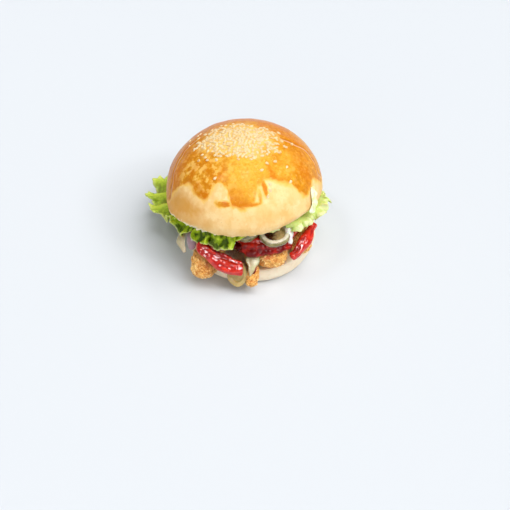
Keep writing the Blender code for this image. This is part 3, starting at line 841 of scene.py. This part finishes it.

# %% [markdown]
# ## Tomato
#
# A tomato slice is wet: the skin on its edge is smooth, and the cut flesh is bumpy round the seed
# chambers, crumpled where the slice hangs, and covered in small bright reflections. A hanging slice
# is swept like a strip. `skin` marks its outer edge, and a second mark the valleys between its
# folds, which get painted shade: they are painted darker, because a red that is lit from all sides
# looks flat. A clear coat over a matt red gives the wet shine without greying the red under it.


# %% Slabs, swept along a route
def slab_mesh(name, route, widths, thickness, cupping, lobes, lean, rough, seed,
              square=3.2, steps=170, around=52, folds=0.0):
    """A flat slice with soft corners along its route. `skin` is 1 on its outer edge, `inner` grows away
    from it, and a third mark is 1 in the valleys, for the painted shade there. Tables: widths, and how far
    the face leans outwards.
    cupping is how far the middle rises, lobes how often and how far the outer edge waves, folds how
    high the face is crumpled and rough how bumpy the cut flesh is."""
    points = [Vector(p) * MM for p in route]
    length = sum((b - a).length for a, b in zip(points, points[1:]))
    rings, outer, inside, hollow = [], [], [], []
    for step in range(steps + 1):
        share = 0.5 - 0.5 * math.cos(math.pi * step / steps)
        middle = along(points, share)
        ahead = (along(points, min(share + 0.03, 1)) - along(points, max(share - 0.03, 0))).normalized()
        facing = Vector((middle.x, middle.y, 0)).normalized() * between(lean, share) + Vector((0, 0, 1))
        across = ahead.cross(facing).normalized()
        normal = across.cross(ahead).normalized()
        if normal.z < 0:
            across, normal = -across, -normal
        side = 1 if across.dot(Vector((middle.x, middle.y, 0))) > 0 else -1
        half = between(widths, share) * MM / 2
        near_end = min(share, 1 - share) * length
        rounding = [(1 - (1 - min(1.0, near_end / size)) ** square) ** (1 / square)
                    for size in (half, thickness * MM * 0.7)]
        ripple = lobes[1] * MM * math.cos(TURN * lobes[0] * share)
        ring = []
        for i in range(around if 0 < step < steps else 1):
            c, s = math.cos(TURN * i / around), math.sin(TURN * i / around)
            u = math.copysign(abs(c) ** (2 / square), c)
            crumple = noise.noise(Vector((share * length / (11 * MM), half * u / (2.8 * MM), seed)))
            v = math.copysign(abs(s) ** (2 / square), s)
            bow = cupping * MM * (1 - u * u)
            reach = (half + ripple * (u * side > 0)) * rounding[0] * u
            spot = middle + across * reach + normal * (bow + thickness * MM / 2 * rounding[1] * v)
            away = (across * c + normal * s).normalized()
            skinned = max(0.0, min(1.0, (u * side - 0.80) / 0.14))
            pulp = max(0.0, min(1.0, 0.55 - u * side * 0.9 + 0.5 * lumps(spot, 5, seed + 3, 2)))
            cell = 1 - 2 * min(1.0, noise.voronoi(spot / (2.2 * MM))[0][0])
            bumps = rough * (1 - skinned) * (0.3 * lumps(spot, 3.4, seed, 2) + (0.05 + 0.3 * pulp) * cell)
            bumps += folds * crumple
            ring.append(spot + away * ((bumps + 0.35 * lumps(spot, 8, seed + 2)) * MM * rounding[1]))
            outer.append(skinned)
            inside.append(pulp)
            # 1 in the valleys of the crumple, where the paint puts painted shade.
            hollow.append(max(0.0, min(1.0, 0.4 - 1.6 * crumple)))
        rings.append(ring)
    mesh = skin(name, rings)
    write(mesh, "skin", outer)
    write(mesh, "inner", inside)
    write(mesh, "hollow", hollow)
    return mesh


def tomato_recipe(place):
    """Red flesh and darker pulp, painted shade in the valleys between the folds, and a smooth rind on the
    edge.
    """
    outer, inner, hollow = marked(place, "skin"), marked(place, "inner"), marked(place, "hollow")
    flesh = place.cloud(0.20, 3, 0.6).step(0.36, 0.66).blend((0.48, 0.005, 0.003), (0.74, 0.028, 0.008))
    pulp = place.cloud(0.30, 3, 0.6).step(0.38, 0.62).blend((0.34, 0.003, 0.002), (0.66, 0.022, 0.008))
    flesh = inner.step(0.35, 0.75).blend(flesh, pulp)
    rind = place.cloud(0.10, 3).step(0.3, 0.7).blend((0.58, 0.012, 0.006), (0.78, 0.060, 0.012))
    # Painted shade: the valleys between the folds are painted dark red.
    flesh = (hollow.step(0.50, 1.0) * 0.65).blend(flesh, (0.24, 0.003, 0.002))
    wet = place.cloud(0.30, 2, 0.45)
    return {"Base Color": outer.blend(flesh, rind), "Roughness": place.cloud(0.3, 2) * 0.14 + 0.16,
            "Bump": (wet * (1 - outer * 0.5), 0.65)}


tomato = paint("wet_tomato", tomato_recipe, Specular_IOR_Level=0.03, Coat_Weight=0.8, Coat_IOR=1.75,
               Coat_Roughness=0.09, Subsurface_Weight=0.05, Subsurface_Scale=0.002)
serve("tomato_slice_left_cut", slab_mesh(
    "tomato_slice_left_cut",
    [(-26, -24, 39.5), (-32, -36, 39.5), (-34.3, -45.5, 38.8), (-30.5, -50.8, 36.0), (-21, -55, 31.5),
     (-12, -58.2, 28), (-4.3, -57.5, 27)],
    [(0, 8), (0.33, 10.5), (0.5, 9.5), (0.67, 12.5), (0.83, 12.5), (1, 11)], 4.6, 0.4, (3, 0.4),
    [(0, 0.2), (0.33, 0.4), (0.5, 0.6), (0.67, 0.9), (1, 1.1)], 0.8, 30, folds=1.5),
    tomato, "tomato", "tomato_slice_left")
serve("tomato_slice_right_cut", slab_mesh(
    "tomato_slice_right_cut",
    [(48.9, -25, 40), (47.9, -30, 39.7), (44.9, -35.6, 38.5), (41.4, -40.9, 36), (37.3, -45.5, 31.5),
     (31.5, -48.6, 28.7)],
    [(0, 5.5), (0.2, 6.2), (0.4, 8.4), (0.6, 9.2), (0.8, 8.3), (1, 6.5)], 5.0, 0.9, (2, 0.9),
    [(0, 0.1), (1, 0.6)], 0.7, 33, folds=1.2),
    tomato, "tomato", "tomato_slice_right")


# %% Whole slices, turned
def slice_mesh(name, centre, radius, squash, lean, thickness, core, recess, wave, rough, seed):
    """A round-edged slice turned on its own axis, then leaned; `skin` is 1 at its rim, `core` 1 inside."""
    edge = thickness / 2
    places = [(radius * 0.97 * (i / 26), edge) for i in range(27)]
    places += [(radius - edge * 0.7 * (1 - math.cos(t)), edge * math.sin(t))
               for t in (math.radians(75 - 15 * i) for i in range(11))]
    places += [(radius * 0.97 * (1 - i / 26), -edge) for i in range(27)]
    turned_by = Euler(lean).to_matrix()
    rings, rind, heart = [], [], []
    for r, z in places:
        ring = []
        for i in range(180 if r > 0.01 else 1):
            angle = TURN * i / 180
            sunk = max(0.0, min(1.0, (core * radius - r) / (0.12 * radius) + 0.5)) if core else 0.0
            sunk = sunk * sunk * (3 - 2 * sunk)
            pit = recess * sunk * (0.75 + 0.25 * math.sin(angle * 2 + seed))
            at = polar(r * wave(angle), angle, z - math.copysign(min(pit, thickness * 0.42), z))
            at.x *= squash
            bumps = 0.22 * lumps(at * MM, 2.5, seed) * rough + 0.10 * lumps(at * MM, 0.9, seed + 1) * rough
            if abs(z) < edge * 0.97:
                at += Vector((at.x, at.y, 0)).normalized() * bumps
            else:
                at.z += math.copysign(bumps, z)
            ring.append((Vector(centre) + turned_by @ at) * MM)
            rind.append(max(0.0, min(1.0, (r / radius - 0.92) / 0.05)))
            heart.append(sunk)
        rings.append(ring)
    mesh = skin(name, rings)
    write(mesh, "skin", rind)
    write(mesh, "core", heart)
    return mesh


def tomato_wave(angle):
    """The outline of a ribbed tomato, as a share of its radius."""
    return 1 + 0.030 * math.cos(6 * angle + 2.1) + 0.015 * math.sin(3 * angle + 4.2)


serve("tomato_slice_middle_cut", slice_mesh(
    "tomato_slice_middle_cut", (11, -22.5, 38.2), 26.5, 1, (math.radians(-4.5), 0, 0), 5.5, 0, 0,
    tomato_wave, 1.5, 36), tomato, "tomato", "tomato_slice_middle")

# %% [markdown]
# ## Pickles, onion and cabbage
#
# Gherkin slices are grey-green and wet, with a darker bumpy rind and a seed core that shrinks back
# when they are cut. They are turned with a sunken core. The onion is a purple-skinned scale and the
# cabbage a pale ribbed shred, both swept like the hanging tomato.


# %% Pickle slices
def pickle_recipe(place):
    """Pale wet flesh, a seed core with painted shade on the side where the slices lie in shade, and a
    green rind.
    """
    rind, core = marked(place, "skin"), marked(place, "core")
    flesh = place.cloud(0.25, 4, 0.6).step(0.3, 0.7).blend((0.70, 0.63, 0.49), (0.90, 0.84, 0.72))
    seeds = place.cells(0.55).step(0.30, 0.12)
    # Painted shade: the core is dark maroon left of 20.5 mm in x, where the slices lie in shade, and beige
    # beyond.
    across = place.axis(0) + place.cloud(0.3, 2) * 0.006
    pulp = across.step(0.0205, 0.0255).blend((0.05, 0.006, 0.004), (0.50, 0.34, 0.15))
    inner = (seeds * 0.15).blend(pulp, (0.50, 0.36, 0.14))
    skin_tone = place.cloud(0.4, 3).step(0.35, 0.65).blend((0.20, 0.17, 0.05), (0.36, 0.31, 0.13))
    wet = place.cloud(0.6, 4, 0.6) + seeds * core * 0.4
    return {"Base Color": rind.blend(core.blend(flesh, inner), skin_tone),
            "Roughness": place.cloud(0.5, 2) * 0.2 + 0.16, "Bump": (wet, 0.35)}


def thin_pickle_recipe(place):
    rind, core = marked(place, "skin"), marked(place, "core")
    flesh = place.cloud(0.25, 4, 0.6).step(0.3, 0.7).blend((0.50, 0.34, 0.10), (0.66, 0.50, 0.19))
    flesh = (core * 0.5).blend(flesh, (0.34, 0.25, 0.06))
    return {"Base Color": rind.blend(flesh, (0.30, 0.17, 0.055)), "Bump": (place.cloud(0.6, 4, 0.6), 0.35)}


pickle = paint("wet_pickle", pickle_recipe, Specular_IOR_Level=0.3, Coat_Weight=0.5, Coat_Roughness=0.1,
               Subsurface_Weight=0.1, Subsurface_Scale=0.002)
thin_pickle = paint("thin_pickle", thin_pickle_recipe, Roughness=0.25, Coat_Weight=0.4, Coat_Roughness=0.1,
                    Subsurface_Weight=0.2, Subsurface_Scale=0.003)


def pickle_wave(seed):
    """The outline of a gherkin slice: a little oval and pimpled, its own for each seed."""
    return lambda angle: (1 + 0.03 * math.sin(2 * angle + seed) + 0.02 * math.sin(5 * angle + seed)
                          + 0.008 * math.sin(19 * angle))


# node, centre and radius in mm, squash, lean, share of the radius that is core, finish, seed
PICKLES = (
    ("pickle_slice_right", (19.8, -40, 45.4), 12, 1.0, (-0.07, 0, 0.4), 0.66, pickle, 0.3),
    ("pickle_slice_middle", (-1.8, -37, 45.4), 9.4, 1.0, (-0.07, 0, 1.9), 0.56, pickle, 1.4),
    ("pickle_slice_front", (-8.4, -55.4, 17.2), 10.4, 0.76, (math.radians(60), 0, -0.22), 0.6,
     thin_pickle, 2.2),
)
for name, centre, radius, squash, lean, core, finish, seed in PICKLES:
    serve(name + "_cut", slice_mesh(name + "_cut", centre, radius, squash, lean, 3.8, core, 1.5,
                                    pickle_wave(seed), 1.0, 40 + seed), finish, "pickle", name)


# %% Sliver, onion and cabbage
def sliver_recipe(place):
    """Flecked grey-green flesh with a dark rind down its outer edge."""
    fleck = place.cloud(0.3, 4, 0.6).step(0.35, 0.65)
    flesh = fleck.blend((0.42, 0.34, 0.17), (0.56, 0.47, 0.27))
    flesh = (place.cloud(0.12, 2).step(0.45, 0.7) * 0.5).blend(flesh, (0.50, 0.56, 0.28))
    rind = place.cloud(0.4, 3).step(0.35, 0.65).blend((0.20, 0.15, 0.045), (0.36, 0.30, 0.12))
    return {"Base Color": marked(place, "skin").blend(flesh, rind), "Bump": (place.cloud(0.6, 4), 0.3)}


sliver = paint("pickle_flesh", sliver_recipe, Roughness=0.25, Coat_Weight=0.4, Coat_Roughness=0.1,
               Subsurface_Weight=0.2, Subsurface_Scale=0.003)
serve("pickle_sliver_cut", slab_mesh(
    "pickle_sliver_cut", [(2.8, -47, 31.5), (3.2, -52, 29), (2.4, -56.5, 25.5), (1, -60.2, 20.5)],
    [(0, 12), (0.35, 11), (0.7, 5.5), (1, 2)], 2.2, 0.3, (0, 0), [(0, 0.8)], 0.25, 50, 3, 90, 36),
    sliver, "pickle", "pickle_sliver")


def onion_recipe(place):
    """Mauve layers with a purple edge, and one drop of red sauce on them."""
    layers = place.cells(0.10, (1, 1, 0.3)).step(0.15, 0.5)
    flesh = layers.blend((0.17, 0.075, 0.09), (0.38, 0.24, 0.28))
    rind = place.cloud(0.3, 3).step(0.35, 0.65).blend((0.20, 0.03, 0.05), (0.34, 0.10, 0.14))
    far = place.distance(-40.5, -30, 42.5) + place.cloud(0.4, 2) * 0.002
    flesh = far.step(0.0056, 0.0034).blend(flesh, (0.12, 0.008, 0.008))
    return {"Base Color": marked(place, "skin").blend(flesh, rind), "Bump": (place.cloud(0.5, 3), 0.3)}


def cabbage_recipe(place):
    """Cream flesh with pale veins that run along the shred."""
    veins = place.cloud(0.35, 3, 0.5, (1, 0.25, 0.25)).step(0.50, 0.62)
    pale = place.cloud(0.15, 3).step(0.3, 0.7).blend((0.46, 0.38, 0.22), (0.62, 0.54, 0.34))
    return {"Base Color": (veins * 0.6).blend(pale, (0.76, 0.74, 0.58)),
            "Bump": (veins * 0.6 + place.cloud(0.6, 3) * 0.4, 0.3)}


onion = paint("red_onion_scale", onion_recipe, Roughness=0.3, Coat_Weight=0.4, Coat_Roughness=0.1,
              Subsurface_Weight=0.2, Subsurface_Scale=0.003)
cabbage = paint("white_cabbage_shred", cabbage_recipe, Roughness=0.4, Subsurface_Weight=0.2,
                Subsurface_Scale=0.003)
serve("onion_petal_cut", slab_mesh(
    "onion_petal_cut", [(-29, -10, 38), (-37.5, -22, 40.5), (-43.5, -34, 39), (-43, -42, 30)],
    [(0, 6), (0.5, 9.5), (0.8, 9), (1, 5)], 1.2, 1.8, (2, 0.6), [(0, 0.83)], 0.25, 53, 2.4, 110, 44),
    onion, "red_onion", "onion_petal")
serve("cabbage_shred_cut", slab_mesh(
    "cabbage_shred_cut",
    [(-36, -8, 34), (-44.5, -20, 35.5), (-51, -31, 35), (-51, -38.5, 31.5), (-48.3, -43, 28)],
    [(0, 5), (0.6, 7.5), (0.85, 5), (1, 1.5)], 0.9, 1.2, (3, 0.7), [(0, 0.83)], 0.4, 56, 2.4, 110, 44),
    cabbage, "white_cabbage", "cabbage_shred")

# %% [markdown]
# ## Lettuce
#
# A frilly leaf has more edge than it has room for, so the edge folds into waves, and the waves
# carry smaller waves. A flat disc cannot be bent into that, but a sheet of points can: each
# point runs out from under the crown, bends over the lip of the filling and swings up and
# sideways, more the further out it is. Three sizes of wave are added up, and the sheet then gets
# its real thickness.


# %% Leaf sheets
LEAF_THICKNESS = 0.5


def under_crown(x, y):
    """Height of the crown's cut face over a place on the table, in mm."""
    up = crown_lean @ Vector((0, 0, 1))
    on_face = CROWN_CENTRE - up * CROWN_SKIRT
    return on_face.z - (up.x * (x - on_face.x) + up.y * (y - on_face.y)) / up.z


def leaf_mesh(name, free, bend, lip, ruffle, span, seed, columns=640, rows=44):
    """A frilly leaf under the crown. The tables are by compass angle, as in the plain solids: the free
    length past the lip, how steeply it hangs, and how far out the lip is. `frill` is 1 at the edge,
    `vein` 1 on the ribs, and a third mark holds painted light and shade: high on the tops of the
    waves, low in the valleys and just out from under the crown."""
    start, end = span
    inner, curl = 4, 6
    sheet = bmesh.new()
    grid, frill_values, vein_values, crest_values = [], [], [], []
    run = 0.0
    for column in range(columns + 1):
        degrees = start + (end - start) * column / columns
        angle = math.radians(degrees)
        edge, tail = between(lip, degrees), between(free, degrees)
        slope = math.radians(between(bend, degrees))
        sink = -1 if slope < 0 else 1
        run += (edge + tail) * math.radians(end - start) / columns
        phase = TURN * run / 21 + 0.9 * math.sin(run / 17 + seed) + seed
        nick = noise.noise(Vector((run / 1.7, 3, seed)))
        tooth = 0.97 + (1.3 * abs(nick) + 2.4 * noise.noise(Vector((run / 4.5, 7, seed)))) / max(tail, 4)
        side_fade = max(0.0, min(1.0, (degrees - start) / 8, (end - degrees) / 8))
        line = []
        for row in range(rows + 1):
            share = (row / rows) ** 0.7
            whole = inner + (edge - inner + tail * tooth) * share
            past = max(0.0, whole - edge)
            turn = min(past / curl, abs(slope))
            straight = past - turn * curl
            reach = curl * math.sin(turn) + straight * math.cos(turn)
            drop = sink * (curl * (1 - math.cos(turn)) + straight * math.sin(turn))
            to_edge = past / max(tail * tooth, 1)
            loose = min(1.1, (past / 15) ** 1.2) * side_fade
            small = min(1.0, past / 6) * max(0.0, 1 - (1 - to_edge) * tail / 10) ** 1.3 * side_fade
            wave = math.sin(phase) + 0.35 * math.sin(2.1 * phase + 2)
            folds = [noise.noise(Vector((run / 3.6 + 40 * k, past / 18, seed))) for k in range(2)]
            curls = [noise.noise(Vector((run / 1.5 + 40 * k, past / 8, seed + 9))) for k in range(2)]
            swing = ruffle * loose * wave + small * (8.5 * folds[0] + 2.4 * curls[0] * to_edge**2)
            sideways = 0.4 * ruffle * loose * math.cos(phase + 0.6)
            sideways += small * (6.0 * folds[1] + 1.6 * curls[1])
            tilt = turn * sink
            spot = polar(min(whole, edge) + reach + swing * math.sin(tilt), angle, 0)
            spot += Vector((-math.sin(angle), math.cos(angle), 0)) * sideways
            rim = polar(min(whole, edge), angle, 0)
            spot.z = under_crown(rim.x, rim.y) - 0.9 - drop + swing * math.cos(tilt)
            spot.z -= 0.25 * (1 + math.sin(9 * angle + 6 * share)) * min(1.0, share * 2)
            ribs = (1 - abs(math.sin(7.5 * angle + 0.5 * math.sin(5 * share + seed)))) ** 5
            branches = (1 - abs(math.sin(24 * angle + 1.6 * math.sin(7 * share + 5 * angle)))) ** 4
            twigs = 1 - abs(lumps(spot * MM, 3.5, seed, 2)) * 2.2
            vein = max(ribs, branches * 0.7 * min(1.0, share * 1.2), 0.35 * max(0.0, twigs))
            blister = lumps(spot * MM, 2.8, seed)
            spot.z += min(1.0, past / 4) * (0.6 * blister - 0.25 * vein)
            line.append(sheet.verts.new(spot * MM))
            frill_values.append(to_edge)
            vein_values.append(min(1.0, vein))
            # Painted light and shade: high on the tops of the waves, low in the valleys and just out from
            # under the crown.
            crest = 0.5 + small * (0.75 * folds[0] + 0.3 * curls[0])
            crest += 0.16 * min(1.0, loose) * wave + 0.22 * blister
            crest_values.append(crest - 0.35 * max(0.0, 1 - past / 6))
        grid.append(line)
    for left, right in zip(grid, grid[1:]):
        for row in range(rows):
            sheet.faces.new((left[row], left[row + 1], right[row + 1], right[row]))
    mesh = bpy.data.meshes.new(name)
    sheet.to_mesh(mesh)
    sheet.free()
    for mark, values in (("frill", frill_values), ("vein", vein_values), ("crest", crest_values)):
        write(mesh, mark, values)
    return worked(name, mesh, ("SOLIDIFY", {"thickness": LEAF_THICKNESS * MM, "offset": 0}))


# %% Leaf paint and the two leaves
def leaf_recipe(pale):
    """Painted light on the tops of the waves and painted shade in the valleys, pale veins, and a
    yellower edge that is partly a painted highlight.
    """
    def recipe(place):
        frill, vein, crest = marked(place, "frill"), marked(place, "vein"), marked(place, "crest")
        # Painted light and shade from the wave tops and valleys; the veins also show more where this is
        # light.
        high = crest + (place.cloud(0.2, 4, 0.6) - 0.5) * 0.7
        if pale:
            # The right leaf is paler: partly its own colour, partly painted light where the light from the
            # right falls on it.
            green = high.step(0.25, 0.70).blend((0.58, 0.70, 0.20), (0.84, 0.87, 0.54))
        else:
            green = high.step(0.28, 0.56).blend((0.055, 0.100, 0.0005), (0.30, 0.46, 0.003))
            green = high.step(0.52, 0.74).blend(green, (0.62, 0.76, 0.05))
            # Painted light: where the leaf reaches out on the left, in the burger's shade, it is painted
            # paler.
            left = place.axis(0).step(-0.056, -0.068)
            green = (left * 0.35).blend(green, (0.66, 0.80, 0.14))
        # The outer edge is paler and yellower: partly the leaf's own edge, partly a painted highlight.
        green = (frill.step(0.90, 1.0) * 0.75).blend(green, (0.82, 0.90, 0.30))
        whole = (vein * (0.10 + high.step(0.3, 0.8) * 0.4)).blend(green, (0.66, 0.80, 0.10))
        crinkle = place.cells(0.45) * 0.5 + place.cloud(0.9, 3) * 0.4
        return {"Base Color": whole, "Roughness": place.cloud(0.2, 2) * 0.2 + 0.30,
                "Bump": (crinkle, 0.45)}
    return recipe


leaf_dark = paint("green_lettuce", leaf_recipe(False), Specular_IOR_Level=0.05, Coat_Weight=0.12,
                  Coat_Roughness=0.15, Subsurface_Weight=0.08, Subsurface_Scale=0.002)
leaf_pale = paint("pale_lettuce", leaf_recipe(True), Specular_IOR_Level=0.1, Coat_Weight=0.2,
                  Coat_Roughness=0.15, Subsurface_Weight=0.15, Subsurface_Scale=0.002)
serve("lettuce_leaf_left_frilled", leaf_mesh(
    "lettuce_leaf_left_frilled",
    [(95, 8), (130, 10), (140, 17), (147, 32), (155, 38), (161, 34), (167, 37), (175, 31), (183, 28),
     (189, 20), (195, 14), (203, 15), (212, 16), (220, 10), (229, 15), (238, 12), (246, 16), (255, 15),
     (260, 11), (267, 7), (277, 3)],
    [(95, 20), (150, 17), (185, 24), (205, 32), (225, 50), (277, 66)],
    [(95, 50), (245, 50), (256, 47), (268, 42), (277, 41)], 2.6, (95, 277), 0.4),
    leaf_dark, "lettuce", "lettuce_leaf_left")
serve("lettuce_leaf_right_frilled", leaf_mesh(
    "lettuce_leaf_right_frilled",
    [(-84, 1), (-77, 3), (-71, 7), (-65, 6), (-60, 1), (-56, 1), (-50, 7.5), (-42, 8.5), (-34, 8),
     (-28, 7), (-20, 8.5), (-14, 6), (-8, 7.5), (-2, 5), (6, 6.5), (12, 8), (26, 8), (38, 7), (90, 7)],
    [(-84, 40), (-60, 60), (-38, 60), (-28, 30), (-20, 15), (-14, -30), (-4, -30), (8, 10), (90, 20)],
    [(-84, 38), (-60, 40), (-48, 50), (-30, 52), (-20, 54.5), (-4, 54.5), (8, 52), (90, 50)],
    1.8, (-84, 91), 2.0),
    leaf_pale, "lettuce", "lettuce_leaf_right")

# %% [markdown]
# ### The pale tongue
#
# At the right one pale strip of leaf has slipped out and lies up against the bun. It is swept like
# the onion, along places that are found on the crown itself, so that it follows the dome.


# %% Tongue of leaf on the crown
def over_crown(latitude, compass, lift):
    """A place just over the crown's skin, in mm."""
    t, angle = math.radians(latitude), math.radians(compass)
    at = polar((CROWN_RADIUS + lift) * math.cos(t), angle, (CROWN_DOME + lift) * math.sin(t))
    return CROWN_CENTRE + crown_lean @ at


def tongue_recipe(place):
    tip = (marked(place, "skin") * 0.6 + place.cloud(0.28, 3)).step(0.42, 0.80)
    # The whitish body is partly the leaf's pale rib and partly a painted highlight where the leaf is lit
    # bright; its edge and tips are yellow-green.
    green = tip.blend((0.90, 0.92, 0.68), (0.74, 0.80, 0.24))
    return {"Base Color": green, "Bump": (place.cloud(0.6, 3), 0.4)}


TONGUE_ROUTE = ((-7, -33, 0.9), (1, -30.5, 1.2), (8, -29, 1.0), (15, -28, 0.6))
tongue = paint("pale_leaf_rib_and_highlight", tongue_recipe, Roughness=0.4, Subsurface_Weight=0.2,
               Subsurface_Scale=0.003)
serve("lettuce_tongue", slab_mesh(
    "lettuce_tongue", [over_crown(*place) for place in TONGUE_ROUTE],
    [(0, 8), (0.4, 7), (0.75, 6.5), (1, 3.5)], 0.6, 0.5, (3, 1.2), [(0, 3)], 0.5, 61, 2.4, 90, 40,
    folds=1.5),
    tongue, "lettuce")

# %% [markdown]
# ## Sauces
#
# Ketchup and mayonnaise are thick: they sit in rounded ropes and drops that run together. A
# rope is laid as a row of balls along its route. A voxel remesh melts the balls into one
# skin, and a little smoothing takes the steps out of it. Metaballs melt together too, but a row of
# real balls keeps each rope as thick as its table says.


# %% Ropes of sauce
SAUCE_VOXEL, SAUCE_ROUGHNESS = 0.4, 0.42


def sauce_mesh(name, ropes):
    """ropes: runs of (x, y, z, radius) in mm; the balls between them are filled in."""
    shape = bmesh.new()
    for rope in ropes:
        for first, second in zip(rope, rope[1:] or rope):
            a, b = Vector(first[:3]), Vector(second[:3])
            count = max(1, int((b - a).length / 0.8))
            for i in range(count + 1):
                share = i / count
                at = a.lerp(b, share)
                radius = first[3] + (second[3] - first[3]) * share
                at += 0.30 * radius * noise.noise_vector(at / 3.2)
                radius *= 1 + 0.35 * noise.noise(at / 3.0)
                bmesh.ops.create_icosphere(shape, subdivisions=2, radius=radius * MM,
                                           matrix=Matrix.Translation(at * MM))
    mesh = bpy.data.meshes.new(name)
    shape.to_mesh(mesh)
    shape.free()
    done = worked(name, mesh, ("REMESH", {"mode": "VOXEL", "voxel_size": SAUCE_VOXEL * MM}),
                  ("SMOOTH", {"factor": 0.5, "iterations": 8}))
    for vertex, normal in zip(done.vertices, [n.vector.copy() for n in done.vertex_normals]):
        vertex.co += normal * (SAUCE_ROUGHNESS * lumps(vertex.co, 4, 60, 2) * MM)
    return done


def ketchup_recipe(place):
    deep = place.cloud(0.14, 3).step(0.38, 0.66)
    return {"Base Color": deep.blend((0.15, 0.002, 0.002), (0.50, 0.014, 0.005)),
            "Bump": (place.cloud(0.25, 2, 0.4), 0.5)}


def mayonnaise_recipe(place):
    return {"Base Color": place.cloud(0.2, 2).blend((0.93, 0.92, 0.86), (0.96, 0.95, 0.91)),
            "Bump": (place.cloud(0.5, 2), 0.3)}


ketchup = paint("ketchup", ketchup_recipe, Roughness=0.3, Specular_IOR_Level=0.03, Coat_Weight=0.45,
                Coat_Roughness=0.08, Subsurface_Weight=0.05, Subsurface_Scale=0.002)
mayonnaise = paint("mayonnaise", mayonnaise_recipe, Roughness=0.25, Coat_Weight=0.3, Coat_Roughness=0.1,
                   Subsurface_Weight=0.3, Subsurface_Scale=0.003)
serve("ketchup_runs", sauce_mesh("ketchup_runs", [
    [(-3.2, -48.2, 36.6, 2.4), (0.5, -49.8, 35.8, 3.3), (4.5, -50.2, 35.8, 3.4), (8.5, -50, 36.4, 2.8),
     (13, -49.6, 36.9, 2.6), (19, -48.9, 37.1, 2.6), (24.5, -47.2, 37.4, 2.7), (29.6, -44.6, 37.4, 2.9)],
    [(-3, -46.5, 39.6, 2.4), (4, -47.6, 40.0, 2.8), (10, -47.8, 40.2, 2.8), (17, -47.2, 40.4, 2.8),
     (24, -45.4, 40.4, 2.6), (29, -43, 40.0, 2.3)],
    [(-4, -43, 40.6, 2.4), (4, -43.5, 41.6, 2.6), (14, -43.4, 42, 2.5), (22, -42, 41.6, 2.2)],
    [(-16, -34, 28, 3), (-9, -36, 28, 3.6), (-3, -39.5, 29, 3.6), (4, -43, 31, 3.0)],
    [(5.8, -50.3, 29, 1.6), (4.8, -52.8, 25.6, 1.8), (4.2, -55.2, 22.6, 2.0), (3.0, -57.2, 20.2, 1.5)],
    [(-34, -39.5, 40.2, 1.5), (-30, -44.5, 39.8, 1.9), (-27, -47.6, 38.4, 1.8), (-22.5, -50.5, 36.4, 1.3)],
]), ketchup, "tomato")
serve("mayonnaise_dabs", sauce_mesh("mayonnaise_dabs", [
    [(29.8, -36.5, 49.8, 2.4), (30.0, -40, 46, 2.8), (30.8, -42.6, 41, 2.3), (31.3, -43.2, 37.5, 1.3)],
    [(-25.5, -47.6, 40.2, 1.2), (-22, -48.8, 39.8, 1.0), (-19, -49.2, 39.4, 1.2), (-17, -48.4, 39.6, 0.8)],
    [(-12.6, -45.6, 40.2, 1.4), (-10.4, -44.6, 40.4, 1.0)],
    [(6.0, -36.5, 47.6, 1.2), (7.4, -38.5, 46.6, 0.9)],
]), mayonnaise, "white_cabbage")
